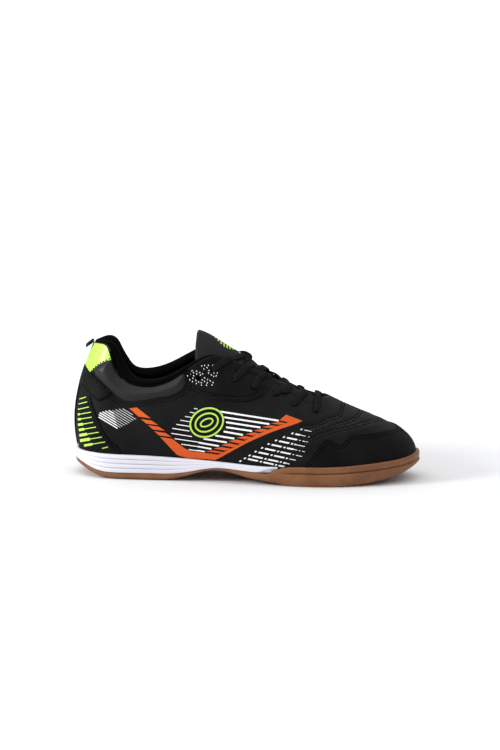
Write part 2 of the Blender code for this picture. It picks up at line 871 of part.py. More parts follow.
def strand_profiles(places, ups):
    """Sections of a flat lace along a path, with the direction straight out of it."""
    profiles = []
    for i, (place, up) in enumerate(zip(places, ups)):
        ahead = places[min(i + 1, len(places) - 1)] - places[max(i - 1, 0)]
        ahead.normalize()
        out = (up - ahead * up.dot(ahead)).normalized() * (LACE_THICKNESS / 2)
        wide = ahead.cross(out).normalized() * (LACE_WIDTH / 2)
        slim = wide * 0.8
        profiles.append(
            [
                place - slim + out,
                place + slim + out,
                place + wide - out,
                place - wide - out,
            ]
        )
    return profiles


def strand_start(row, share, ahead, mirrored):
    """A strand's path from its eyelet over the throat's edge: the places and directions."""
    under = OVERLAY_THICKNESS + CLEARANCE if row <= EYESTAY["row"][-1] else 0.0
    lift_off = under + 2 * CLEARANCE + LACE_THICKNESS / 2
    places = []
    ups = []
    for part in (0.0, 0.5, 1.0):
        at_row = row + EDGE_PART * part * ahead
        place_row = LOOP_ROWS - at_row if mirrored else at_row
        at_share = share + (1 - share) * part
        out = lift_off + 0.6 * part * LACE_THICKNESS
        places.append(upper_point(place_row, at_share, out))
        ups.append(upper_normal(place_row, at_share))
    return places, ups


def over_tongue(row, share, mirrored, extra):
    """A place of the lace above the tongue, at a share of the way to its side."""
    side_row = LOOP_ROWS - row if mirrored else row
    stand = TONGUE_CURVES["stand"](row)
    side = tongue_side(side_row, stand, TONGUE_CURVES["tuck"](row), 0.0)[-1]
    height = LACE_THICKNESS * (0.5 + extra) + 3 * CLEARANCE
    return tongue_arch(row, side, share) + tongue_up(row) * height


def taut(start, end, low):
    """The place halfway along a taut strand, unless what lies below it lifts it."""
    middle = (start + end) / 2
    middle.z = max(middle.z, low.z)
    return middle


def crossing_strand(row, following, share, mirrored, extra):
    """One strand: from its eyelet, forwards over the tongue, to near the far edge."""
    ahead = following - row
    places, ups = strand_start(row, share, ahead, mirrored)
    ridge_row = row + RIDGE_PART * ahead
    half_row = row + (EDGE_PART + RIDGE_PART) / 2 * ahead
    end_row = row + END_PART * ahead
    ridge = over_tongue(ridge_row, 0.0, mirrored, extra)
    half = over_tongue(half_row, 0.5, mirrored, extra)
    end = over_tongue(end_row, 0.35, not mirrored, extra)
    places += [taut(places[-1], ridge, half), ridge, end]
    ups += [tongue_up(half_row), tongue_up(ridge_row), tongue_up(end_row)]
    return strand_profiles(places, ups)


def joined(name, pieces):
    """The union of overlapping closed pieces, as one body in place of them."""
    base = pieces[0]
    for other in pieces[1:]:
        union = base.modifiers.new("union", "BOOLEAN")
        union.operation = "UNION"
        union.solver = "EXACT"
        union.object = other
    graph = bpy.context.evaluated_depsgraph_get()
    mesh = bpy.data.meshes.new_from_object(base.evaluated_get(graph))
    mesh.name = name
    made = bpy.data.objects.new(name, mesh)
    bpy.context.scene.collection.objects.link(made)
    for piece in pieces:
        bpy.data.objects.remove(piece, do_unlink=True)
    return made


def make_laces():
    cotton = material("black_lace", (0.010, 0.010, 0.011), 0.85)
    rows = EYELETS["row"]
    shares = EYELETS["share"]
    for i in range(FIRST_LACED, len(rows) - 1):
        strands = []
        for mirrored, extra in ((False, 0.55), (True, 0.0)):
            profiles = crossing_strand(rows[i], rows[i + 1], shares[i], mirrored, extra)
            strands.append(swept("strand", profiles, cotton))
        joined(f"lace_crossing_{i}", strands)
    row = rows[-1]
    ahead = TONGUE["row"][-1] - row
    outer, outer_ups = strand_start(row, shares[-1], 2 * ahead, False)
    inner, inner_ups = strand_start(row, shares[-1], 2 * ahead, True)
    row += ahead
    ridge = over_tongue(row, 0.0, False, 0.0)
    middle = [
        taut(outer[-1], ridge, over_tongue(row, 0.5, False, 0.0)),
        ridge,
        taut(inner[-1], ridge, over_tongue(row, 0.5, True, 0.0)),
    ]
    ups = outer_ups + [tongue_up(row)] * len(middle) + inner_ups[::-1]
    swept("lace_bar", strand_profiles(outer + middle + inner[::-1], ups), cotton)


def make_pull_loop():
    """The short folded webbing loop at the back of the collar."""
    webbing = material("black_webbing", (0.010, 0.010, 0.011), 0.8)
    root = edge_point(0)
    base = root + Vector((-2 * CLEARANCE, 0, 2 * CLEARANCE))
    down = Vector((-0.80, 0, -0.60))
    thick = Vector((-0.60, 0, 0.80)) * LOOP_THICKNESS
    profiles = []
    for along, slim in ((0.0, 1.0), (0.5, 1.0), (0.9, 1.0), (1.0, 0.5)):
        middle = base + down * (LOOP_LENGTH * along)
        half = Vector((0, LOOP_WIDTH / 2, 0))
        rest = thick * (1 - slim) / 2
        profiles.append(
            [
                middle - half + rest,
                middle + half + rest,
                middle + half + thick - rest,
                middle - half + thick - rest,
            ]
        )
    return swept("pull_loop", profiles, webbing)


def main():
    for old in list(bpy.data.objects):
        bpy.data.objects.remove(old, do_unlink=True)
    make_outsole()
    make_midsole()
    make_upper()
    make_insole()
    make_overlays()
    make_lining()
    make_tongue()
    make_laces()
    make_pull_loop()


main()
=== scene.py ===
"""A right indoor soccer shoe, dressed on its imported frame.

The sections follow the shoe as it is put together: the sole, the upper with its overlays, the
padded collar and tongue, then the prints, the stitching and the lace.
"""

import math

import bmesh
import bpy
from mathutils import Matrix, Vector
from mathutils.bvhtree import BVHTree
from mathutils.kdtree import KDTree


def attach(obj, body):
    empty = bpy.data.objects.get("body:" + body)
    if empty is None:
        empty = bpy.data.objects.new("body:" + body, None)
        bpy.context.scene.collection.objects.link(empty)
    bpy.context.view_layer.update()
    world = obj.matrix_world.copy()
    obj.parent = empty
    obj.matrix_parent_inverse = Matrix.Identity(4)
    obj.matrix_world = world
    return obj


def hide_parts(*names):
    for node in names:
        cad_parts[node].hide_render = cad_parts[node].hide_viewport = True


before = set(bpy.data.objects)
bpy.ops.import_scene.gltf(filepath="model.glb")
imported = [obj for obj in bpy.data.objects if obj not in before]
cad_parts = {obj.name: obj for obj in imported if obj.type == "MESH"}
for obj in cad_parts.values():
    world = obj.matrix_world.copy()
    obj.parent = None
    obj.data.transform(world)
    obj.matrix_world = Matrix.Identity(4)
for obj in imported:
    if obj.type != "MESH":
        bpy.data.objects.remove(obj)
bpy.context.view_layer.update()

# Camera: it looks at the shoe's outer side from ten degrees above, rolled a little, through a
# long lens. A pixel of the photo names a line of sight, which places what is sewn or printed on
# the outer side, and mirrored, on the inner side.
PICTURE_WIDE = 500
PICTURE_HIGH = 750
METRES_PER_PIXEL = 0.000814
LENS_MM = 200
SENSOR_MM = 36
LOOK_DOWN = math.radians(10)
ROLL = math.radians(1.29)
HEEL_BACK_X = -0.0532
AIM_FROM_HEEL_PX = 172
AIM_RIGHT_PX = 2
AIM_UP_PX = 99
SIDE_HALF = 0.030
MID_SLACK = 0.012

gaze = Vector((0, math.cos(LOOK_DOWN), -math.sin(LOOK_DOWN)))
level_up = Vector((0, math.sin(LOOK_DOWN), math.cos(LOOK_DOWN)))
level_right = Vector((1, 0, 0))
right = level_right * math.cos(ROLL) + level_up * math.sin(ROLL)
up = level_up * math.cos(ROLL) - level_right * math.sin(ROLL)
aim = Vector((HEEL_BACK_X + AIM_FROM_HEEL_PX * METRES_PER_PIXEL, 0, 0))
aim += (right * AIM_RIGHT_PX + up * AIM_UP_PX) * METRES_PER_PIXEL
aim_distance = PICTURE_HIGH * METRES_PER_PIXEL * LENS_MM / SENSOR_MM
eye = aim - gaze * aim_distance

camera = bpy.data.objects.new("camera", bpy.data.cameras.new("camera"))
camera.data.lens = LENS_MM
camera.data.sensor_width = SENSOR_MM
turned = Matrix((right, up, -gaze)).transposed().to_4x4()
camera.matrix_world = Matrix.Translation(eye) @ turned
bpy.context.scene.collection.objects.link(camera)
bpy.context.scene.camera = camera


def line_of_sight(px, py):
    """The direction from the camera through a pixel of the photo."""
    across = right * ((px - PICTURE_WIDE / 2) * METRES_PER_PIXEL)
    upward = up * ((PICTURE_HIGH / 2 - py) * METRES_PER_PIXEL)
    return (gaze * aim_distance + across + upward).normalized()


def seen_on(tree, px, py, inner=False):
    """The place and the normal where a pixel's line of sight meets the outer or the inner side."""
    start = eye.copy()
    ahead = line_of_sight(px, py)
    if inner:
        start.y = -start.y
        ahead.y = -ahead.y
    side = 1 if inner else -1
    place, normal, _, _ = tree.ray_cast(start, ahead)
    if place is None:
        place, normal, _, _ = tree.find_nearest(start + ahead * aim_distance)
    elif place.y * side < -MID_SLACK or normal.dot(ahead) > 0:
        reach = (side * SIDE_HALF - start.y) / ahead.y
        place, normal, _, _ = tree.find_nearest(start + ahead * reach)
    return place, normal


# Kit: materials written as sums and mixes of what their nodes give, and forms turned into pieces.
# Patterns follow the object's own coordinates, in metres, or values painted on its mesh.


class Wire:
    """A socket in a material. Python's operators on it add the Math nodes that they name."""

    def __init__(self, tree, socket):
        self.tree = tree
        self.socket = socket

    def node(self, kind, settings, sockets, output=0):
        """Adds a node, sets it up, gives its sockets values or links, and returns one output."""
        made = self.tree.nodes.new(kind)
        for key, value in settings.items():
            setattr(made, key, value)
        for key, value in sockets.items():
            if isinstance(value, Wire):
                self.tree.links.new(value.socket, made.inputs[key])
            else:
                made.inputs[key].default_value = value
        return Wire(self.tree, made.outputs[output])

    def maths(self, operation, first, second):
        return self.node("ShaderNodeMath", {"operation": operation}, {0: first, 1: second})

    def __add__(self, other):
        return self.maths("ADD", self, other)

    def __radd__(self, other):
        return self.maths("ADD", other, self)

    def __sub__(self, other):
        return self.maths("SUBTRACT", self, other)

    def __rsub__(self, other):
        return self.maths("SUBTRACT", other, self)

    def __mul__(self, other):
        return self.maths("MULTIPLY", self, other)

    def __rmul__(self, other):
        return self.maths("MULTIPLY", other, self)

    def __pow__(self, other):
        return self.maths("POWER", self, other)

    def sine(self):
        return self.maths("SINE", self, 0.0)

    def part(self, name):
        """One of a vector's three numbers."""
        return self.node("ShaderNodeSeparateXYZ", {}, {0: self}, name)

    def noise(self, scale, detail=3.0):
        sockets = {"Vector": self, "Scale": scale, "Detail": detail}
        return self.node("ShaderNodeTexNoise", {}, sockets)

    def cells(self, scale):
        """How far each place is from the border of its cell."""
        settings = {"feature": "DISTANCE_TO_EDGE"}
        return self.node("ShaderNodeTexVoronoi", settings, {"Vector": self, "Scale": scale})

    def between(self, low, high):
        """0 below low and 1 above high, with a soft step from one to the other."""
        settings = {"interpolation_type": "SMOOTHSTEP"}
        return self.node("ShaderNodeMapRange", settings, {"Value": self, 1: low, 2: high})

    def mixed(self, colour, other):
        """The one colour where this is 0, and the other where it is 1."""
        sockets = {0: self, 6: colour, 7: other}
        return self.node("ShaderNodeMix", {"data_type": "RGBA"}, sockets, 2)

    def named(self, name):
        """The value painted on the mesh under a name."""
        return self.node("ShaderNodeAttribute", {"attribute_name": name}, {}, "Fac")


def new_finish(name, colour, roughness, **more):
    """A material with its plain values, and the object's own coordinates in it."""
    made = bpy.data.materials.new(name)
    made.use_nodes = True
    shader = made.node_tree.nodes["Principled BSDF"]
    shader.inputs["Base Color"].default_value = (*colour, 1)
    shader.inputs["Roughness"].default_value = roughness
    for socket, value in more.items():
        shader.inputs[socket.replace("_", " ")].default_value = value
    coordinates = made.node_tree.nodes.new("ShaderNodeTexCoord")
    return made, Wire(made.node_tree, coordinates.outputs["Object"])


def finish_with(made, colour=None, roughness=None, height=None, relief=0.0):
    """Links what changes over the surface: colour, roughness, and a height of relief metres."""
    tree = made.node_tree
    shader = tree.nodes["Principled BSDF"]
    if colour:
        tree.links.new(colour.socket, shader.inputs["Base Color"])
    if roughness:
        tree.links.new(roughness.socket, shader.inputs["Roughness"])
    if height:
        bump = height.node("ShaderNodeBump", {}, {"Distance": relief, "Height": height})
        tree.links.new(bump.socket, shader.inputs["Normal"])


def rgba(colour):
    return (*colour, 1)


def placed(name, form):
    """A new object in the scene, with a mesh made from a form."""
    mesh = bpy.data.meshes.new(name)
    form.to_mesh(mesh)
    holder = bpy.data.objects.new(name, mesh)
    bpy.context.scene.collection.objects.link(holder)
    return holder


def pour(part, form):
    """Moves one form into another."""
    mesh = bpy.data.meshes.new("part")
    part.to_mesh(mesh)
    part.free()
    form.from_mesh(mesh)
    bpy.data.meshes.remove(mesh)


# Studio: a wide pale floor under a broad soft light from above, with painted light that makes the
# paper palest away from the shoe. A soft box to the left casts the shadow beside the toe, and a
# weak one in front opens up the side.
FLOOR_SIZE = 24.0
FLOOR_TONE = 0.73
FLOOR_PAINTED_PALE = 0.95
FLOOR_TONE_NEAR = 0.17
FLOOR_TONE_FAR = 0.42
SHOE_MIDDLE_X = 0.085
PAPER_ROUGHNESS = 0.75
ZENITH_LIGHT = 1.42
ZENITH_RISE = 0.80
HORIZON_LIGHT = 0.30
HORIZON_RISE = 0.10
SKY_COLOUR = (0.98, 0.985, 1)
SOFT_BOXES = (
    ("soft_box_left", (-1.2, -0.6, 0.62), 0.4, 20.0),
    ("soft_box_front", (0.5, -1.8, 0.9), 1.0, 0.8),
)
SOFT_BOX_AIM = Vector((0.06, 0, 0.04))

bpy.context.scene.view_settings.view_transform = "Standard"
room = bpy.data.worlds.new("studio_light")
room.use_nodes = True
sky = room.node_tree
direction = Wire(sky, sky.nodes.new("ShaderNodeTexCoord").outputs["Generated"])
rise = direction.part("Z").between(HORIZON_RISE, ZENITH_RISE)
strength = rise * (ZENITH_LIGHT - HORIZON_LIGHT) + HORIZON_LIGHT
sky.links.new(strength.socket, sky.nodes["Background"].inputs["Strength"])
sky.nodes["Background"].inputs["Color"].default_value = rgba(SKY_COLOUR)
bpy.context.scene.world = room

for name, place, size, watts in SOFT_BOXES:
    lamp = bpy.data.lights.new(name, "AREA")
    lamp.size = size
    lamp.energy = watts
    box = bpy.data.objects.new(name, lamp)
    box.location = place
    facing = SOFT_BOX_AIM - Vector(place)
    box.rotation_euler = facing.to_track_quat("-Z", "Y").to_euler()
    bpy.context.scene.collection.objects.link(box)

paper, at = new_finish("pale_paper", (FLOOR_TONE, FLOOR_TONE, FLOOR_TONE), PAPER_ROUGHNESS)
sockets = {0: at, 1: (SHOE_MIDDLE_X, 0, 0)}
away = at.node("ShaderNodeVectorMath", {"operation": "DISTANCE"}, sockets, "Value")
# Painted light: the paper's colour pales with distance from the shoe, making up for the soft box's
# light falling off there.
painted_paleness = away.between(FLOOR_TONE_NEAR, FLOOR_TONE_FAR)
finish_with(paper, painted_paleness * (FLOOR_PAINTED_PALE - FLOOR_TONE) + FLOOR_TONE)
floor_form = bmesh.new()
bmesh.ops.create_grid(floor_form, x_segments=1, y_segments=1, size=FLOOR_SIZE / 2)
studio_floor = placed("studio_floor", floor_form)
floor_form.free()
studio_floor.data.materials.append(paper)

# Outsole: one moulding of brown gum rubber, thin under the heel and the arch and cupped round the
# toe, with a lip on its side and a fine diamond tread pressed into the flats of its underside.
MERGE = 1e-6
HARD_EDGE_DEGREES = 48
NO_HARD_EDGES = 180
SHARP_DEGREES = 40
TREAD_PITCH = 0.0072
TREAD_GROOVE = 0.0011
TREAD_DEPTH = 0.0010
TREAD_TURN = math.radians(38)
TREAD_LINES = range(-12, 36)
TREAD_HIGHEST = 0.0035
UNDERSIDE_HIGHEST = 0.0125
FACING_DOWN = -0.97
SLIVER = 1e-9
DUST_HIGHEST = 0.006
GUM_BROWN = (0.165, 0.062, 0.022)
GUM_DUSTY = (0.235, 0.100, 0.042)


def smooth_copy(node, levels, hard_degrees=HARD_EDGE_DEGREES):
    """The form of a CAD node with its facets rounded off, and its hard edges kept."""
    form = bmesh.new()
    form.from_mesh(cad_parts[node].data)
    bmesh.ops.remove_doubles(form, verts=form.verts, dist=MERGE)
    bmesh.ops.join_triangles(
        form, faces=form.faces, angle_face_threshold=math.pi, angle_shape_threshold=math.pi
    )
    crease = form.edges.layers.float.new("crease_edge")
    for edge in form.edges:
        if edge.is_manifold and math.degrees(edge.calc_face_angle()) > hard_degrees:
            edge[crease] = 1.0
    holder = placed(node, form)
    rounding = holder.modifiers.new("rounding", "SUBSURF")
    rounding.levels = rounding.render_levels = levels
    form.clear()
    form.from_mesh(evaluated(holder))
    bpy.data.objects.remove(holder)
    return form


def evaluated(holder):
    """The mesh of an object with its modifiers worked in."""
    graph = bpy.context.evaluated_depsgraph_get()
    return bpy.data.meshes.new_from_object(holder.evaluated_get(graph))


def show(name, form, made, *nodes):
    """Puts a finished form in the scene as a named piece that stands for CAD nodes."""
    piece = placed(name, form)
    form.free()
    piece.data.shade_smooth()
    piece.data.set_sharp_from_angle(angle=math.radians(SHARP_DEGREES))
    piece.data.materials.append(made)
    if nodes:
        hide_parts(*nodes)
    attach(piece, "root")
    return piece


def is_underside(face):
    return face.normal.z < FACING_DOWN and face.calc_center_median().z < UNDERSIDE_HIGHEST


def groove_place(place, turn):
    """Where a place lies across one family of tread grooves, from 0 to 1 pitch."""
    along = place.x * math.cos(turn) + place.y * math.sin(turn)
    return along % TREAD_PITCH


def press_tread(form):
    """Cuts two crossing families of lines in the underside and sinks the strips between."""
    under = [f for f in form.faces if is_underside(f) and f.calc_area() > SLIVER]
    flat = {f for f in under if f.calc_center_median().z < TREAD_HIGHEST}
    for turn in (TREAD_TURN, -TREAD_TURN):
        across = Vector((math.cos(turn), math.sin(turn), 0))
        for line in TREAD_LINES:
            for side in (0.0, TREAD_GROOVE):
                region = set(flat)
                for f in flat:
                    region.update(f.edges)
                    region.update(f.verts)
                cut = bmesh.ops.bisect_plane(
                    form,
                    geom=list(region),
                    plane_co=across * (line * TREAD_PITCH + side),
                    plane_no=across,
                )
                flat = {f for f in flat if f.is_valid}
                flat.update(g for g in cut["geom"] if isinstance(g, bmesh.types.BMFace))
    sunk = []
    for face in flat:
        middle = face.calc_center_median()
        if any(groove_place(middle, turn) < TREAD_GROOVE for turn in (TREAD_TURN, -TREAD_TURN)):
            sunk.append(face)
    made = bmesh.ops.extrude_face_region(form, geom=sunk)["geom"]
    raised = [g for g in made if isinstance(g, bmesh.types.BMVert)]
    bmesh.ops.translate(form, verts=raised, vec=(0, 0, TREAD_DEPTH))
    bmesh.ops.delete(form, geom=sunk, context="FACES")


outsole = smooth_copy("outsole", 2)
press_tread(outsole)
gum, at = new_finish("gum_rubber_moulded", GUM_BROWN, 0.42, Specular_IOR_Level=0.3)
dust = at.noise(60).between(0.40, 0.68) * 0.6 + at.noise(900, 2.0).between(0.45, 0.7) * 0.25
low = 1 - at.part("Z").between(0.0, DUST_HIGHEST)
finish_with(
    gum,
    colour=(dust + low * 0.2).mixed(rgba(GUM_BROWN), rgba(GUM_DUSTY)),
    roughness=at.noise(220) * 0.20 + 0.33,
    height=at.noise(1600, 4.0) * 0.6 + at.noise(240),
    relief=0.00012,
)
show("gum_outsole", outsole, gum, "outsole")

# Midsole: a wedge of white foam, moulded with three fine grooves in its side, cemented between
# the outsole and the upper. Its skin is finely pebbled from the mould.
FOAM_WHITE = (0.60, 0.60, 0.655)
FOAM_SHADE = (0.53, 0.53, 0.60)
GROOVES_FADE = ((0.012, 2), (0.026, 4), (0.040, 8))
FLANK_NORMAL = 0.8

foam, at = new_finish("white_moulded_foam", FOAM_WHITE, 0.5)
marks = at.noise(45).between(0.48, 0.75) * 0.35 + at.noise(1500, 2.0).between(0.5, 0.8) * 0.2
finish_with(
    foam,
    colour=marks.mixed(rgba(FOAM_WHITE), rgba(FOAM_SHADE)),
    roughness=at.noise(90) * 0.2 + 0.42,
    height=at.noise(2400, 3.0),
    relief=0.00006,
)
midsole = smooth_copy("midsole", 2)
for start, rounds in GROOVES_FADE:
    flank = [v for v in midsole.verts if v.co.x > start and abs(v.normal.z) < FLANK_NORMAL]
    for _ in range(rounds):
        bmesh.ops.smooth_vert(midsole, verts=flank, factor=0.5, use_axis_y=True)
show("foam_midsole", midsole, foam, "midsole")

# Insole: a thin foam board covered in black brushed fabric, lying loose in the shoe.
FABRIC_BLACK = (0.010, 0.010, 0.011)
FABRIC_GREY = (0.030, 0.030, 0.032)
FABRIC_PITCH = 0.0011


def woven(at, pitch):
    """A plain weave's height: threads across X and Y that pass over each other in turn."""
    turn = 2 * math.pi / pitch
    across = (at.part("X") * turn).sine()
    along = (at.part("Y") * turn + at.part("Z") * turn).sine()
    return across * along * 0.5 + 0.5


brushed, at = new_finish("brushed_lining_fabric", FABRIC_BLACK, 0.9, Sheen_Weight=0.1)
nap = at.noise(1400, 4.0)
finish_with(
    brushed,
    colour=nap.between(0.4, 0.7).mixed(rgba(FABRIC_BLACK), rgba(FABRIC_GREY)),
    roughness=nap * 0.1 + 0.84,
    height=woven(at, FABRIC_PITCH) * 0.6 + nap,
    relief=0.00025,
)
show("fabric_insole", smooth_copy("insole", 2), brushed, "insole")

# Upper: black synthetic leather over a thin backing, lasted over the sole's rim. The vamp is
# quilted with three double rows of stitching that bend round the toe, and has soft folds where
# the lace draws it in.
LEATHER_BLACK = (0.0027, 0.0027, 0.0029)
LEATHER_GREY = (0.0082, 0.0082, 0.0087)
LEATHER_SHINE = 0.095
SEAM_SINK = 0.00050
SEAM_WIDE = 0.0010
SEAM_GAP_PX = 2.7
CURVE_CELLS = 16
LINE_STEP_PX = 1.2
OUTLINE_STEP_PX = 2.4
RIDGE_LINE_STEP = 0.001
QUILT_SWELL = 0.00032
QUILT_WIDE = 0.0034
QUILT_BELL = 0.7
QUILT_REACH = 0.012
RIDGE_HALF = 0.012
RIDGE_PLAIN = 0.75
VAMP_START = 0.10
FOLDS_END = 0.19
SHOE_CORE_END = 0.17
SHOE_CORE_HEIGHT = 0.03
VAMP_ROWS_PX = (
    ((302, 427.5), (315, 425.6), (330, 419.2), (338.8, 416.2), (341.8, 408.6)),
    ((304, 436.4), (311.7, 433.6), (334.3, 425.7), (353.6, 419.2), (359.4, 413.2)),
    ((303, 443), (313, 438.5), (334, 431), (355, 425.6), (370.5, 421.4)),
)
VAMP_ROW_RIDGES = (0.2160, 0.2305, 0.2465)
TOE_GUARD_EDGE_PX = [
    (305.5, 465), (314, 453.8), (321.5, 444.8), (326.5, 439.6), (330.5, 440.2),
    (336.5, 443.6), (341.5, 444.2), (345.6, 440.6), (349.2, 436.2), (356, 434.6),
    (368, 433.8), (381, 431.8), (391.5, 430.0), (397.6, 427.2), (400.5, 423.0),
    (400.5, 416.0),
]
TOE_CORNERS_PX = [(450, 416), (450, 520), (305.5, 520)]
FOLDS_PX = (
    (((282, 398), (285, 407), (286, 418)), 0.0004, 0.004),
    (((262, 402), (268, 412), (271, 424)), -0.0003, 0.005),
    (((316, 416), (312, 424), (305, 432)), -0.0003, 0.004),
    (((228, 404), (240, 412), (248, 424)), -0.00025, 0.006),
)


def leather(name, colour, worn, roughness, grain, relief, shine=LEATHER_SHINE, coat=0.0, edge=3):
    """Leather with a pebbled grain, soft patches of colour and gloss, and a tinted rim: on black
    leathers, a painted highlight.
    """
    made, at = new_finish(
        name, colour, roughness, Specular_IOR_Level=shine, Coat_Weight=coat, Coat_Roughness=0.2
    )
    patches = at.noise(38)
    pebbles = at.cells(1 / grain).between(0.02, 0.28)
    pores = at.noise(2.2 / grain, 3.0)
    rim_tint = at.named("rim_tint")
    tone = patches.between(0.35, 0.75) * 0.5 + pores.between(0.35, 0.8) * 0.25
    # Rim colour: the grey times edge, a painted highlight on the black leathers; on the lime patent
    # it is the deeper lime.
    pale = rgba([part * edge for part in worn])
    gloss = (1 - pebbles) * 0.10 + patches * 0.12 - rim_tint * 0.08 + (roughness - 0.09)
    finish_with(
        made,
        colour=(rim_tint * 1.5).mixed(tone.mixed(rgba(colour), rgba(worn)), pale),
        roughness=gloss,
        height=pebbles * 0.7 + pores * 0.5 + patches * 0.4,
        relief=relief,
    )
    return made


def paint_rim_tint(form):
    """Paints how much rim tint each place takes: the outside corners and rims of the piece."""
    layer = form.verts.layers.float.new("rim_tint")
    for vert in form.verts:
        bend = [e.calc_face_angle_signed(0.0) for e in vert.link_edges if e.is_manifold]
        vert[layer] = min(1.0, max(0.0, max(bend, default=0.0) - 0.25))


def tree_of(*forms):
    """One search tree of several forms, to lay things on their skin."""
    places = []
    faces = []
    for form in forms:
        start = len(places)
        form.verts.index_update()
        places += [v.co.copy() for v in form.verts]
        faces += [[start + v.index for v in f.verts] for f in form.faces]
    return BVHTree.FromPolygons(places, faces)


def bend_at(before, start, end, after, t):
    """A place on the smooth curve from start to end that also heads for its neighbours."""
    line = start * 2 + (end - before) * t
    bow = (before * 2 - start * 5 + end * 4 - after) * (t * t)
    turn = (start * 3 - before - end * 3 + after) * (t * t * t)
    return (line + bow + turn) / 2


def curve_through(places, step):
    """Evenly stepped places on a smooth curve through some places."""
    padded = [places[0]] + list(places) + [places[-1]]
    fine = []
    for i in range(1, len(padded) - 2):
        near = padded[i - 1 : i + 3]
        fine += [bend_at(*near, j / CURVE_CELLS) for j in range(CURVE_CELLS)]
    fine.append(places[-1])
    lengths = [0.0]
    for a, b in zip(fine, fine[1:]):
        lengths.append(lengths[-1] + (b - a).length)
    count = max(2, round(lengths[-1] / step))
    spaced = []
    i = 0
    for j in range(count + 1):
        goal = lengths[-1] * j / count
        while i < len(fine) - 2 and lengths[i + 1] < goal:
            i += 1
        gap = max(lengths[i + 1] - lengths[i], 1e-12)
        spaced.append(fine[i].lerp(fine[i + 1], (goal - lengths[i]) / gap))
    return spaced


def line_on(tree, pixels, inner=False):
    """A smooth line drawn in the photo's pixels, as places on the skin."""
    drawn = curve_through([Vector((x, y, 0)) for x, y in pixels], LINE_STEP_PX)
    return [seen_on(tree, p.x, p.y, inner)[0] for p in drawn]


def line_over(tree, pixels, ridge_from_heel):
    """A line that starts on the outer side, goes over the ridge and ends on the inner side."""
    above = Vector((HEEL_BACK_X + ridge_from_heel, 0, 0.2))
    ridge = tree.ray_cast(above, Vector((0, 0, -1)))[0]
    halves = [[seen_on(tree, x, y, inner)[0] for x, y in pixels] for inner in (False, True)]
    return curve_through(halves[0] + [ridge] + halves[1][::-1], RIDGE_LINE_STEP)


def beside(pixels, gap):
    """The same line, moved to its right by a gap in pixels."""
    moved = []
    for i, (x, y) in enumerate(pixels):
        ahead = pixels[min(i + 1, len(pixels) - 1)]
        behind = pixels[max(i - 1, 0)]
        run = Vector((ahead[0] - behind[0], ahead[1] - behind[1])).normalized()
        moved.append((x - run.y * gap, y + run.x * gap))
    return moved


def smooth_outline(pixels, closed=False):
    """An outline in the photo's pixels with its corners rounded off."""
    ends = pixels[:1] if closed else []
    drawn = curve_through([Vector((x, y, 0)) for x, y in pixels + ends], OUTLINE_STEP_PX)
    return [(p.x, p.y) for p in (drawn[:-1] if closed else drawn)]


def near_line(places):
    """A search tree of places, to find how far others lie from them."""
    found = KDTree(len(places))
    for i, place in enumerate(places):
        found.insert(place, i)
    found.balance()
    return found


def bell(distance, wide):
    return math.exp(-((distance / wide) ** 2))


def pixel_of(place, inner=False):
    """The pixel of the photo at which a place of the outer side, or its like inside, shows."""
    ahead = Vector((place.x, -place.y if inner else place.y, place.z)) - eye
    scale = aim_distance / ahead.dot(gaze) / METRES_PER_PIXEL
    return (
        PICTURE_WIDE / 2 + ahead.dot(right) * scale,
        PICTURE_HIGH / 2 - ahead.dot(up) * scale,
    )


def is_inside(outline, px, py):
    odd = False
    for (ax, ay), (bx, by) in zip(outline, outline[1:] + outline[:1]):
        if (ay > py) != (by > py) and px < ax + (py - ay) / (by - ay) * (bx - ax):
            odd = not odd
    return odd


upper = smooth_copy("upper", 2)


def is_outside(face):
    """Whether a face of the upper is on its outer skin, not on its inner wall."""
    middle = face.calc_center_median()
    core = Vector((min(max(middle.x, 0.0), SHOE_CORE_END), 0, SHOE_CORE_HEIGHT))
    return face.normal.dot(middle - core) > 0


skin_edges = {e for f in upper.faces if is_outside(f) for e in f.edges}
bmesh.ops.subdivide_edges(upper, edges=list(skin_edges), cuts=1, use_grid_fill=True)
bare_skin = tree_of(upper)
toe_outline = smooth_outline(TOE_GUARD_EDGE_PX) + TOE_CORNERS_PX
vamp_rows = []
for row, ridge in zip(VAMP_ROWS_PX, VAMP_ROW_RIDGES):
    for gap in (-SEAM_GAP_PX / 2, SEAM_GAP_PX / 2):
        vamp_rows.append(line_over(bare_skin, beside(row, gap), ridge + gap * METRES_PER_PIXEL))
vamp_seams = near_line([place for row in vamp_rows for place in row])
for vert in upper.verts:
    if vert.co.x < VAMP_START:
        continue
    away = vamp_seams.find(vert.co)[2]
    if away < QUILT_REACH:
        under_guard = is_inside(toe_outline, *pixel_of(vert.co, vert.co.y > 0))
        share = 0.0 if under_guard else 1 - RIDGE_PLAIN * bell(vert.co.y, RIDGE_HALF)
        swell = QUILT_SWELL * bell(away - QUILT_WIDE, QUILT_WIDE * QUILT_BELL)
        vert.co += vert.normal * (share * (swell - SEAM_SINK * bell(away, SEAM_WIDE)))
for inner in (False, True):
    for fold, deep, wide in FOLDS_PX:
        crest = near_line(line_on(bare_skin, fold, inner))
        for vert in upper.verts:
            if VAMP_START < vert.co.x < FOLDS_END and (vert.co.y > 0) == inner:
                vert.co += vert.normal * (deep * bell(crest.find(vert.co)[2], wide))
upper.normal_update()
paint_rim_tint(upper)
black_leather = leather(
    "black_synthetic_leather",
    LEATHER_BLACK,
    LEATHER_GREY,
    roughness=0.52,
    grain=0.0009,
    relief=0.00008,
)
outer_skin = upper.copy()
bmesh.ops.delete(
    outer_skin, geom=[f for f in outer_skin.faces if not is_outside(f)], context="FACES"
)

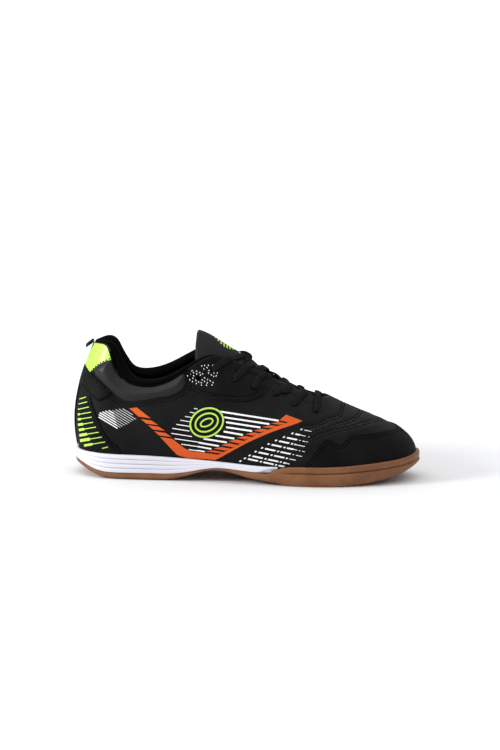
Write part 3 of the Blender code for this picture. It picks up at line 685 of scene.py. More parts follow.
# Overlays: pieces skived from a tougher black synthetic, cemented and double stitched on the
# upper. The toe guard wraps the toe and the counter wraps the heel, turned in at the sole. The
# backstay and the strap over the counter's corner hold the heel tab's lower end.
OVERLAY_BLACK = (0.0020, 0.0020, 0.0022)
OVERLAY_GREY = (0.0085, 0.0085, 0.0090)
OVERLAY_SHINE = 0.065
OVERLAY_THICK = 0.0008
OVERLAY_LIFT = 0.00012
OVERLAY_EDGE = 0.00024
WELD = 0.00002
CUT_MARGIN_PX = 6
CUT_PAST_MIDDLE = 0.003
COUNTER_EDGE_PX = [
    (88, 376), (89.5, 392), (92, 403), (95.3, 412), (98.8, 421), (102.6, 429.4),
    (107, 436.6), (112.4, 442.6), (118, 446.6), (121, 458),
]
COUNTER_CORNERS_PX = [(121, 470), (60, 470), (60, 376)]
STRAP_PX = [
    (60, 363.2), (86.2, 363.2), (87.6, 366.8), (90.4, 371.2), (95.4, 376.9),
    (104.0, 385.2), (112.3, 393.0), (110.6, 394.9), (98.2, 401.2), (93.0, 397.4),
    (87.6, 392.2), (83.0, 386.0), (80.0, 380.0), (60, 380.0),
]
BACKSTAY_HALF = 0.0056
BACKSTAY_TOP = 0.0880
BACKSTAY_FOOT = 0.0225
BACKSTAY_LIFT = 0.00015
BACKSTAY_THICK = 0.00064
BACKSTAY_CELLS = (8, 40)
BACKSTAY_SMOOTHINGS = 3
BEHIND_HEEL_X = -0.3
STRAP_CLEAR = 0.00008

overlay_leather = leather(
    "tough_black_overlay",
    OVERLAY_BLACK,
    OVERLAY_GREY,
    roughness=0.55,
    grain=0.0007,
    relief=0.00007,
    shine=OVERLAY_SHINE,
)


def soften_rim(form, wide, segments=2):
    """Rounds the hard edges of a thin piece."""
    hard = []
    for edge in form.edges:
        if edge.is_manifold and math.degrees(edge.calc_face_angle()) > HARD_EDGE_DEGREES:
            hard.append(edge)
    bmesh.ops.bevel(
        form,
        geom=hard,
        offset=wide,
        offset_type="OFFSET",
        segments=segments,
        profile=0.5,
        affect="EDGES",
        material=-1,
        clamp_overlap=True,
    )


def whole(form):
    return form.verts[:] + form.edges[:] + form.faces[:]


def cut_side(outline, inner, source=outer_skin):
    """One side's piece, cut from the upper's skin along an outline in the photo's pixels."""
    piece = source.copy()
    columns, rows = zip(*outline)
    left, right_end = min(columns) - CUT_MARGIN_PX, max(columns) + CUT_MARGIN_PX
    top, foot = min(rows) - CUT_MARGIN_PX, max(rows) + CUT_MARGIN_PX
    far = []
    for face in piece.faces:
        middle = face.calc_center_median()
        px, py = pixel_of(middle, inner)
        wrong_side = (-middle.y if inner else middle.y) > CUT_PAST_MIDDLE
        if wrong_side or not (left < px < right_end and top < py < foot):
            far.append(face)
    bmesh.ops.delete(piece, geom=far, context="FACES")
    away = Vector((0, -1 if inner else 1, 0))
    bmesh.ops.bisect_plane(
        piece, geom=whole(piece), plane_co=(0, 0, 0), plane_no=away, clear_outer=True
    )
    start = Vector((eye.x, -eye.y if inner else eye.y, eye.z))
    for a, b in zip(outline, outline[1:] + outline[:1]):
        across = line_of_sight(*a).cross(line_of_sight(*b))
        if inner:
            across.y = -across.y
        bmesh.ops.bisect_plane(piece, geom=whole(piece), plane_co=start, plane_no=across)
    spare = []
    for face in piece.faces:
        if not is_inside(outline, *pixel_of(face.calc_center_median(), inner)):
            spare.append(face)
    bmesh.ops.delete(piece, geom=spare, context="FACES")
    return piece


def joined(*forms):
    """Several forms in one, with the edges that meet made one."""
    total = bmesh.new()
    for form in forms:
        pour(form, total)
    bmesh.ops.remove_doubles(total, verts=total.verts, dist=WELD)
    return total


def thicken(form, lift, thick, puff=0.0, puff_wide=0.006):
    """Lifts a sheet off what it lies on and gives it a thickness outwards, puffed in its middle."""
    form.normal_update()
    out = form.verts.layers.float_vector.new("out")
    rim = near_line([v.co.copy() for v in form.verts if v.is_boundary])
    for vert in form.verts:
        far = min(1.0, rim.find(vert.co)[2] / puff_wide)
        vert[out] = vert.normal * (thick + puff * math.sin(far * math.pi / 2))
        vert.co += vert.normal * lift
    made = bmesh.ops.extrude_face_region(form, geom=form.faces[:])["geom"]
    for item in made:
        if isinstance(item, bmesh.types.BMVert):
            item.co += item[out]
    bmesh.ops.recalc_face_normals(form, faces=form.faces)


def finish_sheet(form, lift, thick, rim=OVERLAY_EDGE, **puffed):
    """Makes a sheet a solid piece with rounded rims."""
    thicken(form, lift, thick, **puffed)
    soften_rim(form, rim)
    paint_rim_tint(form)


def overlay(outline, lift=OVERLAY_LIFT):
    """A piece round the toe or the heel, the same on both sides."""
    form = joined(cut_side(outline, False), cut_side(outline, True))
    finish_sheet(form, lift, OVERLAY_THICK)
    return form


toe_guard = overlay(toe_outline)
heel_counter = overlay(smooth_outline(COUNTER_EDGE_PX) + COUNTER_CORNERS_PX)
counter_skin = tree_of(upper, heel_counter)
straps = overlay(STRAP_PX, OVERLAY_LIFT + OVERLAY_THICK + STRAP_CLEAR)

backstay = bmesh.new()
columns, rows = BACKSTAY_CELLS
bmesh.ops.create_grid(backstay, x_segments=columns, y_segments=rows, size=0.5)
for vert in backstay.verts:
    across = vert.co.x * 2 * BACKSTAY_HALF
    height = BACKSTAY_FOOT + (vert.co.y + 0.5) * (BACKSTAY_TOP - BACKSTAY_FOOT)
    behind = Vector((BEHIND_HEEL_X, across, height))
    vert.co = counter_skin.ray_cast(behind, Vector((1, 0, 0)))[0]
for face in backstay.faces:
    face.normal_update()
if sum(f.normal.x for f in backstay.faces) > 0:
    bmesh.ops.reverse_faces(backstay, faces=backstay.faces)
for _ in range(BACKSTAY_SMOOTHINGS):
    bmesh.ops.smooth_vert(backstay, verts=backstay.verts, factor=0.5, use_axis_x=True)
finish_sheet(backstay, BACKSTAY_LIFT, BACKSTAY_THICK)

# Eyestays: reinforcements either side of the throat with punched holes for the lace, bare at the
# rims. The first hole is left empty.
EYELET_RADIUS = 0.0020
EYELET_DEPTH = 0.009
EYELET_DENT = 0.0005
EYELET_DENT_WIDE = 0.0026
EYELET_SIDES = 20
EYELETS_PX = (
    (198.4, 378), (212.8, 369.6), (234, 379.5), (254, 388.1), (274.8, 394), (294, 404.1),
    (315.6, 410.7),
)

eyestays = [smooth_copy("eyestay_outer", 2), smooth_copy("eyestay_inner", 2)]
eyestay_skin = tree_of(upper, *eyestays)
holes = [
    [seen_on(eyestay_skin, px, py, inner) for px, py in EYELETS_PX] for inner in (False, True)
]


def punch(form, side):
    """Dents a form at the eyelets of one side, and cuts them through."""
    rims = near_line([place for place, _ in holes[side]])
    for vert in form.verts:
        away = rims.find(vert.co)[2]
        vert.co -= vert.normal * (EYELET_DENT * bell(away, EYELET_DENT_WIDE))
    cutters = bmesh.new()
    for place, normal in holes[side]:
        turn = normal.to_track_quat("Z", "Y").to_matrix().to_4x4()
        bmesh.ops.create_cone(
            cutters,
            cap_ends=True,
            segments=EYELET_SIDES,
            radius1=EYELET_RADIUS,
            radius2=EYELET_RADIUS,
            depth=EYELET_DEPTH,
            matrix=Matrix.Translation(place) @ turn,
        )
    holders = [placed("sheet", form), placed("punches", cutters)]
    cut = holders[0].modifiers.new("holes", "BOOLEAN")
    cut.operation = "DIFFERENCE"
    cut.solver = "EXACT"
    cut.object = holders[1]
    form.clear()
    form.from_mesh(evaluated(holders[0]))
    for holder in holders:
        bpy.data.objects.remove(holder)
    cutters.free()


ground_forms = [form.copy() for form in eyestays]
for side, form in enumerate(eyestays):
    soften_rim(form, OVERLAY_EDGE)
    paint_rim_tint(form)
    punch(form, side)
    punch(upper, side)

# Collar pads: smooth, slightly glossy leather over foam round the ankle, from the collar's edge
# down to a double seam, and a cord of black piping where they meet the lining.
SMOOTH_BLACK = (0.0030, 0.0027, 0.0034)
SMOOTH_GREY = (0.0080, 0.0074, 0.0092)
PAD_LIFT = 0.0002
PAD_PUFF = 0.0032
PAD_PUFF_WIDE = 0.0075
PAD_PX = [
    (110.6, 359.7), (112.6, 365.2), (114.7, 370.6), (117.6, 375.0), (122, 379.1),
    (127.6, 382.7), (136.3, 386.0), (144, 387.2), (151, 387.1), (157.6, 386.1),
    (168.4, 382.4), (177, 377.8), (183.2, 374.0), (185.4, 380), (184, 386), (180.5, 390.4),
    (171.5, 395), (157, 397.6), (145, 399.8), (132.7, 401.3), (123, 399.4), (112.1, 392.1),
    (104, 384), (96.4, 375), (94.5, 369.5), (97.5, 365.8), (105.2, 361),
]
PIPING_PX = (
    (110.8, 352.0), (112.2, 358.0), (113.8, 363.7), (116.4, 369.5), (119.0, 373.8),
    (122.2, 377.4), (128.3, 381.8), (133.9, 384.3), (140.0, 385.9), (146.5, 386.5),
    (151.7, 386.2), (157.3, 385.4), (162.9, 383.8), (168.7, 381.5), (174.5, 378.4),
    (180.3, 374.8), (186.1, 371.0), (191.7, 367.1), (197.1, 363.6), (203.0, 360.2),
    (209.5, 357.8), (215.6, 357.2), (222.0, 358.5), (227.3, 360.4), (233.3, 363.0),
)
PIPING_RADIUS = 0.0009
PIPING_STEP = 0.002
PIPING_SIDES = 8

smooth_leather = leather(
    "smooth_padded_leather",
    SMOOTH_BLACK,
    SMOOTH_GREY,
    roughness=0.38,
    grain=0.0006,
    relief=0.00003,
    shine=0.28,
)
pads = []
for inner in (False, True):
    pad = cut_side(smooth_outline(PAD_PX, True), inner)
    finish_sheet(pad, PAD_LIFT, OVERLAY_THICK, puff=PAD_PUFF, puff_wide=PAD_PUFF_WIDE)
    pads.append(pad)


def ribbon(form, places, normals, wides, thicks, sides):
    """A flat oval band along a path, capped at its ends, with its length and width painted on."""
    along = form.verts.layers.float.get("along") or form.verts.layers.float.new("along")
    across = form.verts.layers.float.get("across") or form.verts.layers.float.new("across")
    ring = []
    gone = 0.0
    for i, place in enumerate(places):
        ahead = places[min(i + 1, len(places) - 1)] - places[max(i - 1, 0)]
        ahead.normalize()
        out = (normals[i] - ahead * normals[i].dot(ahead)).normalized()
        side = ahead.cross(out)
        if i:
            gone += (place - places[i - 1]).length
        turned = []
        for j in range(sides):
            angle = 2 * math.pi * j / sides
            wide = math.cos(angle)
            high = math.sin(angle)
            shape = side * (wide * wides[i] / 2) + out * (high * thicks[i] / 2)
            turned.append((place + shape, wide))
        if not ring:
            ring = [form.verts.new(co) for co, _ in turned]
            form.faces.new(ring[::-1])
        else:
            edges = [form.edges.get((ring[j], ring[(j + 1) % sides])) for j in range(sides)]
            if None in edges:
                edges = [form.edges.new((ring[j], ring[(j + 1) % sides])) for j in range(sides)]
            made = bmesh.ops.extrude_edge_only(form, edges=edges)["geom"]
            fresh = {g for g in made if isinstance(g, bmesh.types.BMVert)}
            following = []
            for vert in ring:
                others = [edge.other_vert(vert) for edge in vert.link_edges]
                following += [other for other in others if other in fresh]
            ring = following
            for vert, (co, _) in zip(ring, turned):
                vert.co = co
        for vert, (_, wide) in zip(ring, turned):
            vert[along] = gone
            vert[across] = wide
    form.faces.new(ring)


piping = bmesh.new()
piping_ground = tree_of(outer_skin)
for inner in (False, True):
    line = curve_through(line_on(piping_ground, PIPING_PX, inner), PIPING_STEP)
    lifted = [piping_ground.find_nearest(p) for p in line]
    normals = [n for _, n, _, _ in lifted]
    line = [p + n * PIPING_RADIUS * 0.5 for p, n, _, _ in lifted]
    size = [PIPING_RADIUS * 2] * len(line)
    ribbon(piping, line, normals, size, size, PIPING_SIDES)
bmesh.ops.recalc_face_normals(piping, faces=piping.faces)

skin = tree_of(upper, toe_guard, heel_counter, straps, *eyestays, *pads)
show("leather_upper", upper, black_leather, "upper")
show("toe_overlay", toe_guard, overlay_leather, "toe_guard")
show("heel_overlay", heel_counter, overlay_leather, "heel_counter")
show("heel_straps", straps, overlay_leather)
show("backstay", backstay, overlay_leather)
for name, form, node in zip(
    ("outer_eyestay", "inner_eyestay"), eyestays, ("eyestay_outer", "eyestay_inner")
):
    show(name, form, overlay_leather, node)
for name, form, node in zip(
    ("outer_collar_pad", "inner_collar_pad"), pads, ("collar_panel_outer", "collar_panel_inner")
):
    pad_piece = show(name, form, smooth_leather, node)

# Collar lining: black knitted textile over soft foam, rolled over the collar's edge and sewn
# down inside.
KNIT_BLACK = (0.0006, 0.0006, 0.0008)
KNIT_GREY = (0.0034, 0.0034, 0.0042)
KNIT_PITCH = 0.0012


def knit(at, pitch):
    """The height of fine knitted loops: slanted columns, broken into stitches."""
    turn = 2 * math.pi / pitch
    column = (at.part("X") * turn + at.part("Y") * turn).sine()
    course = (at.part("Z") * turn * 1.4 + column * 0.8).sine()
    return column * 0.3 + course * 0.3 + 0.5


knitted, at = new_finish(
    "black_knit_lining", KNIT_BLACK, 0.92, Specular_IOR_Level=0.01, Sheen_Weight=0.01
)
loops = knit(at, KNIT_PITCH)
tone = (loops * 0.5 + at.noise(50) * 0.4).between(0.2, 0.8)
finish_with(
    knitted,
    colour=tone.mixed(rgba(KNIT_BLACK), rgba(KNIT_GREY)),
    roughness=at.noise(300) * 0.08 + 0.86,
    height=loops + at.noise(1800) * 0.4,
    relief=0.00022,
)
lining = smooth_copy("collar_lining", 2, NO_HARD_EDGES)
lining_piece = show("knit_collar_lining", lining, knitted, "collar_lining")
show("collar_piping", piping, knitted)

# Heel tabs: lime patent leather on either side of the heel's top, butted at the centre back and
# edge stitched. The strap's top edge overlaps their lower end.
LIME = (0.40, 0.64, 0.085)
LIME_DEEP = (0.33, 0.55, 0.052)
TAB_THICK = 0.0012
TAB_SEAM_GAP = 0.0002
TAB_RIM = 0.0003
TAB_PX = [
    (60, 343.4), (97.0, 343.4), (101.0, 344.1), (104.4, 344.6), (106.8, 346.2),
    (108.4, 349.0), (109.8, 354.0), (111.2, 359.9), (105.8, 361.6), (101.0, 363.9),
    (96.0, 367.8), (91.0, 372.7), (60, 372.7),
]

patent = leather(
    "lime_patent_leather",
    LIME,
    LIME_DEEP,
    roughness=0.38,
    grain=0.0012,
    relief=0.00004,
    shine=0.4,
    coat=0.25,
    edge=1,
)
tabs = []
for inner in (False, True):
    tab = cut_side(TAB_PX, inner)
    away = Vector((0, -1 if inner else 1, 0))
    bmesh.ops.bisect_plane(
        tab, geom=whole(tab), plane_co=-away * TAB_SEAM_GAP, plane_no=away, clear_outer=True
    )
    finish_sheet(tab, OVERLAY_LIFT, TAB_THICK, TAB_RIM)
    tabs.append(tab)
tab_skin = tree_of(*tabs)
for name, tab, node in zip(
    ("outer_heel_tab", "inner_heel_tab"), tabs, ("heel_tab_outer", "heel_tab_inner")
):
    show(name, tab, patent, node)

# Pull loop: a short folded length of black webbing, sewn in at the back of the collar.
WEBBING_BLACK = (0.0012, 0.0012, 0.0014)
WEBBING_GREY = (0.0060, 0.0060, 0.0066)
WEBBING_EDGE = 0.0009
WEBBING_PITCH = 0.0010

webbing, at = new_finish("black_webbing_weave", WEBBING_BLACK, 0.8, Specular_IOR_Level=0.1)
threads = woven(at, WEBBING_PITCH)
finish_with(
    webbing,
    colour=threads.mixed(rgba(WEBBING_BLACK), rgba(WEBBING_GREY)),
    roughness=at.noise(500) * 0.1 + 0.74,
    height=threads,
    relief=0.0002,
)
loop = smooth_copy("pull_loop", 2)
soften_rim(loop, WEBBING_EDGE, 4)
show("webbing_loop", loop, webbing, "pull_loop")

# Tongue: padded smooth leather under the lace, standing above the collar.
TONGUE_BLACK = (0.0105, 0.0105, 0.0112)
TONGUE_GREY = (0.020, 0.020, 0.021)

tongue_leather = leather(
    "padded_tongue_leather",
    TONGUE_BLACK,
    TONGUE_GREY,
    roughness=0.50,
    grain=0.0008,
    relief=0.00006,
)
tongue = smooth_copy("tongue", 2, NO_HARD_EDGES)
paint_rim_tint(tongue)
tongue_skin = tree_of(tongue)
ground_forms.append(tongue.copy())
tongue_piece = show("leather_tongue", tongue, tongue_leather, "tongue")

# Prints: thin films of orange, white and lime, pressed on both sides of the upper, on the
# counter and on the tongue. An oval badge of three plain rings is welded on each side.
FILM_THICK = 0.00010
FILM_LIFT = 0.00004
FILM_CELL_PX = 2.2
FILM_GRAIN = 0.0009
ORANGE = (0.55, 0.082, 0.0105)
ORANGE_WORN = (0.48, 0.072, 0.0105)
PRINT_WHITE = (0.80, 0.80, 0.80)
PRINT_GREY = (0.58, 0.58, 0.59)
ORANGE_SHAPES_PX = (
    ((129.3, 408.4), (136.6, 407.3), (150.6, 418.2), (138.6, 416.6)),
    ((141.0, 419.0), (151.6, 420.6), (158.2, 425.0), (146.4, 423.6)),
    ((148.0, 425.2), (158.8, 426.8), (165.0, 430.8), (153.0, 429.4)),
    ((154.2, 431.2), (165.6, 433.0), (171.6, 436.9), (159.2, 435.4)),
    ((160.2, 437.0), (172.2, 438.8), (178.0, 443.2), (187.0, 458), (177.0, 454.8)),
    ((178.0, 443.2), (184.8, 448.4), (191.5, 451.5), (191.5, 458.4), (187.0, 458)),
    ((191.5, 451.5), (198.0, 452.0), (205.0, 452.9), (204.6, 459), (191.5, 458.4)),
    ((205.0, 452.9), (219.3, 454.7), (218.6, 458.4), (215.0, 460), (204.6, 459)),
    ((279.3, 420.4), (286.1, 414.7), (302.5, 421.0), (297.1, 423.3), (287.5, 422.0)),
    ((287.5, 422.0), (297.1, 423.3), (290.5, 425.7), (287.5, 422.7)),
)
CUTS_PX = (
    ((205.0, 452.2), (219.3, 454.0), (218.6, 458.4)),
    ((213.6, 449.4), (225.0, 451.5), (226.5, 454.0)),
    ((221.4, 446.1), (232.1, 447.9), (233.0, 450.4)),
    ((228.6, 442.2), (238.9, 444.4), (239.6, 446.8)),
    ((236.4, 438.6), (245.4, 440.4), (246.5, 443.1)),
    ((245.4, 435.1), (252.9, 436.5), (254.0, 439.6)),
    ((253.6, 431.5), (260.7, 432.9), (262.0, 436.1)),
    ((262.1, 427.9), (270.4, 429.1), (271.2, 432.2)),
    ((270.7, 424.4), (279.3, 425.6), (281.0, 428.7)),
    ((279.3, 421.1), (287.5, 422.7), (290.5, 425.7)),
)
CUT_HALF_PX = 0.95
WHITE_LINES_PX = (
    (217.5, 411.1, 278.6, 420.7, 1.7),
    (221.8, 416.9, 269.3, 424.1, 1.7),
    (226.1, 422.2, 260.4, 427.5, 1.7),
    (226.1, 427.2, 252.1, 431.1, 1.7),
    (223.6, 431.5, 242.9, 434.9, 1.7),
    (215.0, 435.4, 234.3, 438.6, 1.7),
    (203.6, 438.7, 226.8, 442.4, 1.6),
    (198.6, 442.6, 218.9, 446.0, 1.5),
    (197.9, 446.5, 211.4, 448.9, 1.4),
    (197.1, 450.4, 204.6, 451.6, 1.2),
    (194.0, 408.4, 197.5, 409.0, 0.7),
    (189.9, 412.2, 195.0, 413.0, 0.7),
    (185.1, 416.4, 192.5, 417.6, 0.7),
    (180.3, 420.2, 190.5, 421.8, 0.7),
    (176.5, 424.3, 189.5, 426.4, 0.8),
    (172.3, 428.3, 189.5, 431.0, 0.8),
    (171.4, 433.3, 192.0, 436.5, 0.8),
    (174.6, 438.6, 203.6, 442.9, 0.8),
    (181.3, 444.1, 198.0, 446.6, 0.8),
    (188.9, 449.5, 197.0, 450.8, 0.8),
)
LIME_LINES_PX = (
    (79.5, 399.1, 85.9, 397.0, 79.5, 1.0),
    (78.6, 404.0, 87.2, 401.8, 78.6, 1.0),
    (78.2, 409.4, 89.0, 406.9, 79.4, 1.3),
    (78.0, 414.5, 91.0, 412.1, 80.0, 2.0),
    (78.0, 419.5, 91.7, 417.1, 80.9, 2.2),
    (78.2, 424.9, 93.1, 422.3, 83.1, 2.5),
    (79.1, 430.0, 96.0, 427.0, 84.5, 2.5),
    (79.5, 435.3, 98.7, 432.2, 87.2, 2.7),
    (80.2, 440.7, 101.8, 437.0, 89.9, 2.9),
    (84.2, 445.5, 105.1, 441.9, 92.6, 2.3),
    (102.1, 448.4, 108.1, 446.9, 102.1, 0.9),
)
LIME_THIN_PX = 0.8
LIME_SHORTEST_PX = 0.5
HATCH_SLOPE = 0.605
HATCH_LINES = 10
HATCH_STEP_PX = 2.53
HATCH_START_PX = (98.7, 417.0)
HATCH_SHORTEST_PX = 1.2
HATCH_MIDDLE_PX = [
    (112.5, 409.9), (114.0, 413.7), (114.8, 416.7), (115.5, 419.5), (116.2, 422.5),
    (117.0, 425.7), (117.7, 429.2),
]
HATCH_THICK_PX = HATCH_MIDDLE_PX + [
    (98.6, 417.8), (98.6, 415.3), (99.8, 412.6), (102.7, 411.7), (105.7, 410.9),
    (109.3, 410.3),
]
HATCH_THIN_PX = HATCH_MIDDLE_PX[::-1] + [
    (123.8, 408.5), (130.3, 412.8), (136.8, 418.2), (134.8, 420.0), (132.3, 420.8),
    (130.2, 422.7), (127.7, 424.0), (125.2, 425.0), (122.3, 426.2), (120.0, 427.8),
]
HATCH_FIELDS = ((HATCH_THICK_PX, 0.98), (HATCH_THIN_PX, 0.36))
DASH_STARTS_PX = (
    (239.3, 460.8), (243.9, 458.0), (248.6, 455.2), (254.6, 451.4), (261.1, 447.7),
    (267.5, 443.8), (275.0, 440.2), (282.9, 436.8), (291.4, 433.2), (300.4, 429.2),
)
DASH_SLOPE = 0.215
DASHES_PX = ((0.2, 1.9), (4.1, 14.1), (16.1, 17.9), (19.5, 29.7), (31.4, 33.0), (34.8, 41.0))
DASH_THICK_PX = 1.3
DASH_THIN_PX = 0.55
DASH_SHORTEST_PX = 0.8
DASH_LEAN = 0.9
DASH_TURNING_PX = (299.6, 433.6)
DASH_TURNING_RUN = 0.63
DASH_LAST_PX = (311.0, 430.0)
DASH_LAST_RUN = 0.45
DASH_FOOT_PX = ((236, 461.5), (300, 468.5))
DOTS_PX = (
    (192.0, 370.7), (193.6, 372.6), (196.7, 371.1), (199.8, 372.6), (202.6, 373.8),
    (190.4, 374.0), (187.8, 375.7), (196.7, 374.0), (193.7, 375.8), (200.4, 375.2),
    (189.8, 379.8), (192.8, 378.2), (192.5, 381.6), (195.8, 380.4), (198.6, 381.9),
    (196.3, 383.5), (202.3, 379.8), (204.6, 377.9), (207.5, 379.6), (204.5, 381.3),
    (201.4, 382.8), (207.3, 382.9), (210.1, 380.8), (213.1, 382.6), (211.9, 385.1),
    (206.5, 385.3), (201.4, 385.1), (201.7, 366.0), (204.6, 365.5), (208.4, 365.3),
    (212.6, 365.4), (207.0, 367.6), (203.9, 369.0), (208.9, 370.6), (208.6, 373.1),
    (213.9, 373.0), (217.3, 373.0), (211.4, 374.9), (213.6, 376.4), (216.1, 375.9),
)
DOT_LONG_PX = 1.15
DOT_WIDE_PX = 0.66
DOT_LEAN = 0.6
BADGE_CENTRE_PX = (206.8, 422.4)
BADGE_TURN = math.radians(-24)
BADGE_RINGS_PX = ((17.8, 14.6, 1.7), (12.6, 9.4, 1.6), (7.2, 4.2, 1.5))
BADGE_THICK = 0.0006
BADGE_RING_THICK = 0.00024
BADGE_SIDES = 44
TONGUE_CELL = 0.0015
TONGUE_BAR_START = 0.1105
TONGUE_BAR_STEP = 0.0024
TONGUE_BAR_LONG = 0.0012
TONGUE_BAR_HALVES = (0.0030, 0.0046, 0.0056, 0.0060, 0.0056, 0.0046, 0.0030)
TONGUE_MARKS = (0.1300, 0.1336)
TONGUE_MARK_HALF = 0.0040
TONGUE_MARK_START = 0.0008
TONGUE_MARK_WIDE = 0.0013
TONGUE_MARK_SLANT = 0.0020


def film(name, colour, worn, roughness):
    """Printed film: even colour, a little wear and a faint grain of the leather below."""
    made, at = new_finish(name, colour, roughness, Specular_IOR_Level=0.18)
    scuffs = at.noise(420, 4.0).between(0.52, 0.74) * 0.5 + at.noise(60).between(0.4, 0.8) * 0.3
    finish_with(
        made,
        colour=scuffs.mixed(rgba(colour), rgba(worn)),
        roughness=at.noise(150) * 0.16 + (roughness - 0.08),
        height=at.cells(1 / FILM_GRAIN).between(0.02, 0.3),
        relief=0.00004,
    )
    return made


def side_cast(tree, inner):
    """Finds the place and the normal on a skin for a pixel, on the outer or the inner side."""
    return lambda px, py: seen_on(tree, px, py, inner)


def top_cast(tree):
    """Finds the place and the normal below a spot, given from the heel's back and the middle."""
    return lambda x, y: tree.ray_cast(Vector((HEEL_BACK_X + x, y, 0.3)), Vector((0, 0, -1)))[:2]


def lay(form, cast, outline, thick=FILM_THICK, lift=FILM_LIFT, cell=FILM_CELL_PX):
    """Lays a flat shape on the skin as a thin film, cut in cells so that it follows the skin."""
    sheet = bmesh.new()
    sheet.faces.new([sheet.verts.new((x, y, 0)) for x, y in outline])
    for axis in (0, 1):
        low = min(point[axis] for point in outline)
        high = max(point[axis] for point in outline)
        for step in range(1, int((high - low) / cell) + 1):
            across = Vector((axis == 0, axis == 1, 0))
            bmesh.ops.bisect_plane(
                sheet, geom=whole(sheet), plane_co=across * (low + step * cell), plane_no=across
            )
    facing = Vector((0, 0, 0))
    for vert in sheet.verts:
        vert.co, normal = cast(vert.co.x, vert.co.y)
        facing += normal
    sheet.normal_update()
    if sum(f.normal.dot(facing) for f in sheet.faces) < 0:
        bmesh.ops.reverse_faces(sheet, faces=sheet.faces)
    thicken(sheet, lift, thick)
    pour(sheet, form)


def bar(x, y, end_x, end_y, wide):
    """The outline of a straight bar of a width between two pixels."""
    run = Vector((end_x - x, end_y - y)).normalized() * (wide / 2)
    return [
        (x + run.y, y - run.x),
        (end_x + run.y, end_y - run.x),
        (end_x - run.y, end_y + run.x),
        (x - run.y, y + run.x),
    ]


def clipped(outline, x, y, slope):
    """The stretch of a sloping line that lies inside an outline, as its two ends, or None."""
    hits = []
    for (ax, ay), (bx, by) in zip(outline, outline[1:] + outline[:1]):
        over = (ay - y) - slope * (ax - x)
        under = (by - y) - slope * (bx - x)
        if over * under < 0:
            hits.append(ax + (bx - ax) * over / (over - under))
    if len(hits) < 2:
        return None
    low, high = min(hits), max(hits)
    return low, y + slope * (low - x), high, y + slope * (high - x)


def dash_pieces(x, y):
    """One row of dashes: thick to a slanting line, and thin from there to the field's edge."""
    turning = DASH_TURNING_PX[0] - (y - DASH_TURNING_PX[1]) * DASH_TURNING_RUN
    last = DASH_LAST_PX[0] - (y - DASH_LAST_PX[1]) * DASH_LAST_RUN
    for start, end in DASHES_PX:
        for low, high, wide in (
            (x + start, min(x + end, turning), DASH_THICK_PX),
            (max(x + start, turning), min(x + end, last), DASH_THIN_PX),
        ):
            start_y = y + (low - x) * DASH_SLOPE
            foot = y + (high - x) * DASH_SLOPE
            (foot_x, foot_y), (end_x, end_y) = DASH_FOOT_PX
            limit = foot_y + (high - foot_x) * (end_y - foot_y) / (end_x - foot_x)
            if high - low > DASH_SHORTEST_PX and foot < limit:
                half = wide / 2
                lean = half * DASH_LEAN
                yield [
                    (low + lean, start_y - half),
                    (high + lean, foot - half),
                    (high - lean, foot + half),
                    (low - lean, start_y + half),
                ]


def oval(wide, high, angle):
    """A pixel on one of the badge's tilted ovals."""
    x, y = wide * math.cos(angle), high * math.sin(angle)
    return (
        BADGE_CENTRE_PX[0] + x * math.cos(BADGE_TURN) - y * math.sin(BADGE_TURN),
        BADGE_CENTRE_PX[1] + x * math.sin(BADGE_TURN) + y * math.cos(BADGE_TURN),
    )


orange_form, white_form, lime_form = bmesh.new(), bmesh.new(), bmesh.new()
badge_form, ring_form = bmesh.new(), bmesh.new()
circle = [2 * math.pi * i / BADGE_SIDES for i in range(BADGE_SIDES)]
for inner in (False, True):
    cast = side_cast(skin, inner)
    for shape in ORANGE_SHAPES_PX:
        lay(orange_form, cast, shape)
    for (start, end, foot), (next_start, next_end, next_foot) in zip(CUTS_PX, CUTS_PX[1:]):
        tooth = [
            (start[0], start[1] - CUT_HALF_PX),
            (end[0], end[1] - CUT_HALF_PX),
            (next_end[0], next_end[1] + CUT_HALF_PX),
            (next_start[0], next_start[1] + CUT_HALF_PX),
        ]
        lay(orange_form, cast, tooth)
        lay(orange_form, cast, [end, next_end, next_foot, foot])
    for x, y, end_x, end_y, wide in WHITE_LINES_PX:
        lay(white_form, cast, bar(x, y, end_x, end_y, wide))
    for x, y, end_x, end_y, thick_x, thick in LIME_LINES_PX:
        lay(lime_form, cast, bar(x, y, end_x, end_y, LIME_THIN_PX))
        if thick_x - x > LIME_SHORTEST_PX:
            thick_y = y + (end_y - y) * (thick_x - x) / (end_x - x)
            lay(lime_form, cast, bar(x, y, thick_x, thick_y, thick))
    for field, wide in HATCH_FIELDS:
        for line in range(HATCH_LINES):
            start, last = HATCH_START_PX
            found = clipped(field, start, last - line * HATCH_STEP_PX, HATCH_SLOPE)
            if found and found[2] - found[0] > HATCH_SHORTEST_PX:
                lay(white_form, cast, bar(*found, wide))
    for x, y in DASH_STARTS_PX:
        for shape in dash_pieces(x, y):
            lay(white_form, cast, shape)
    for i, (x, y) in enumerate(DOTS_PX):
        lean = DOT_LONG_PX / 2 * (DOT_LEAN if i % 3 else -DOT_LEAN)
        top, foot = y - DOT_LONG_PX / 2, y + DOT_LONG_PX / 2
        lay(white_form, cast, bar(x - lean, top, x + lean, foot, DOT_WIDE_PX))
    wide, high, _ = BADGE_RINGS_PX[0]
    lay(badge_form, cast, [oval(wide, high, a) for a in circle], BADGE_THICK)
    for wide, high, line in BADGE_RINGS_PX:
        for a, b in zip(circle, circle[1:] + circle[:1]):
            shape = [
                oval(wide, high, a),
                oval(wide, high, b),
                oval(wide - line, high - line, b),
                oval(wide - line, high - line, a),
            ]
            lay(ring_form, cast, shape, BADGE_RING_THICK, BADGE_THICK)
cast = top_cast(tongue_skin)
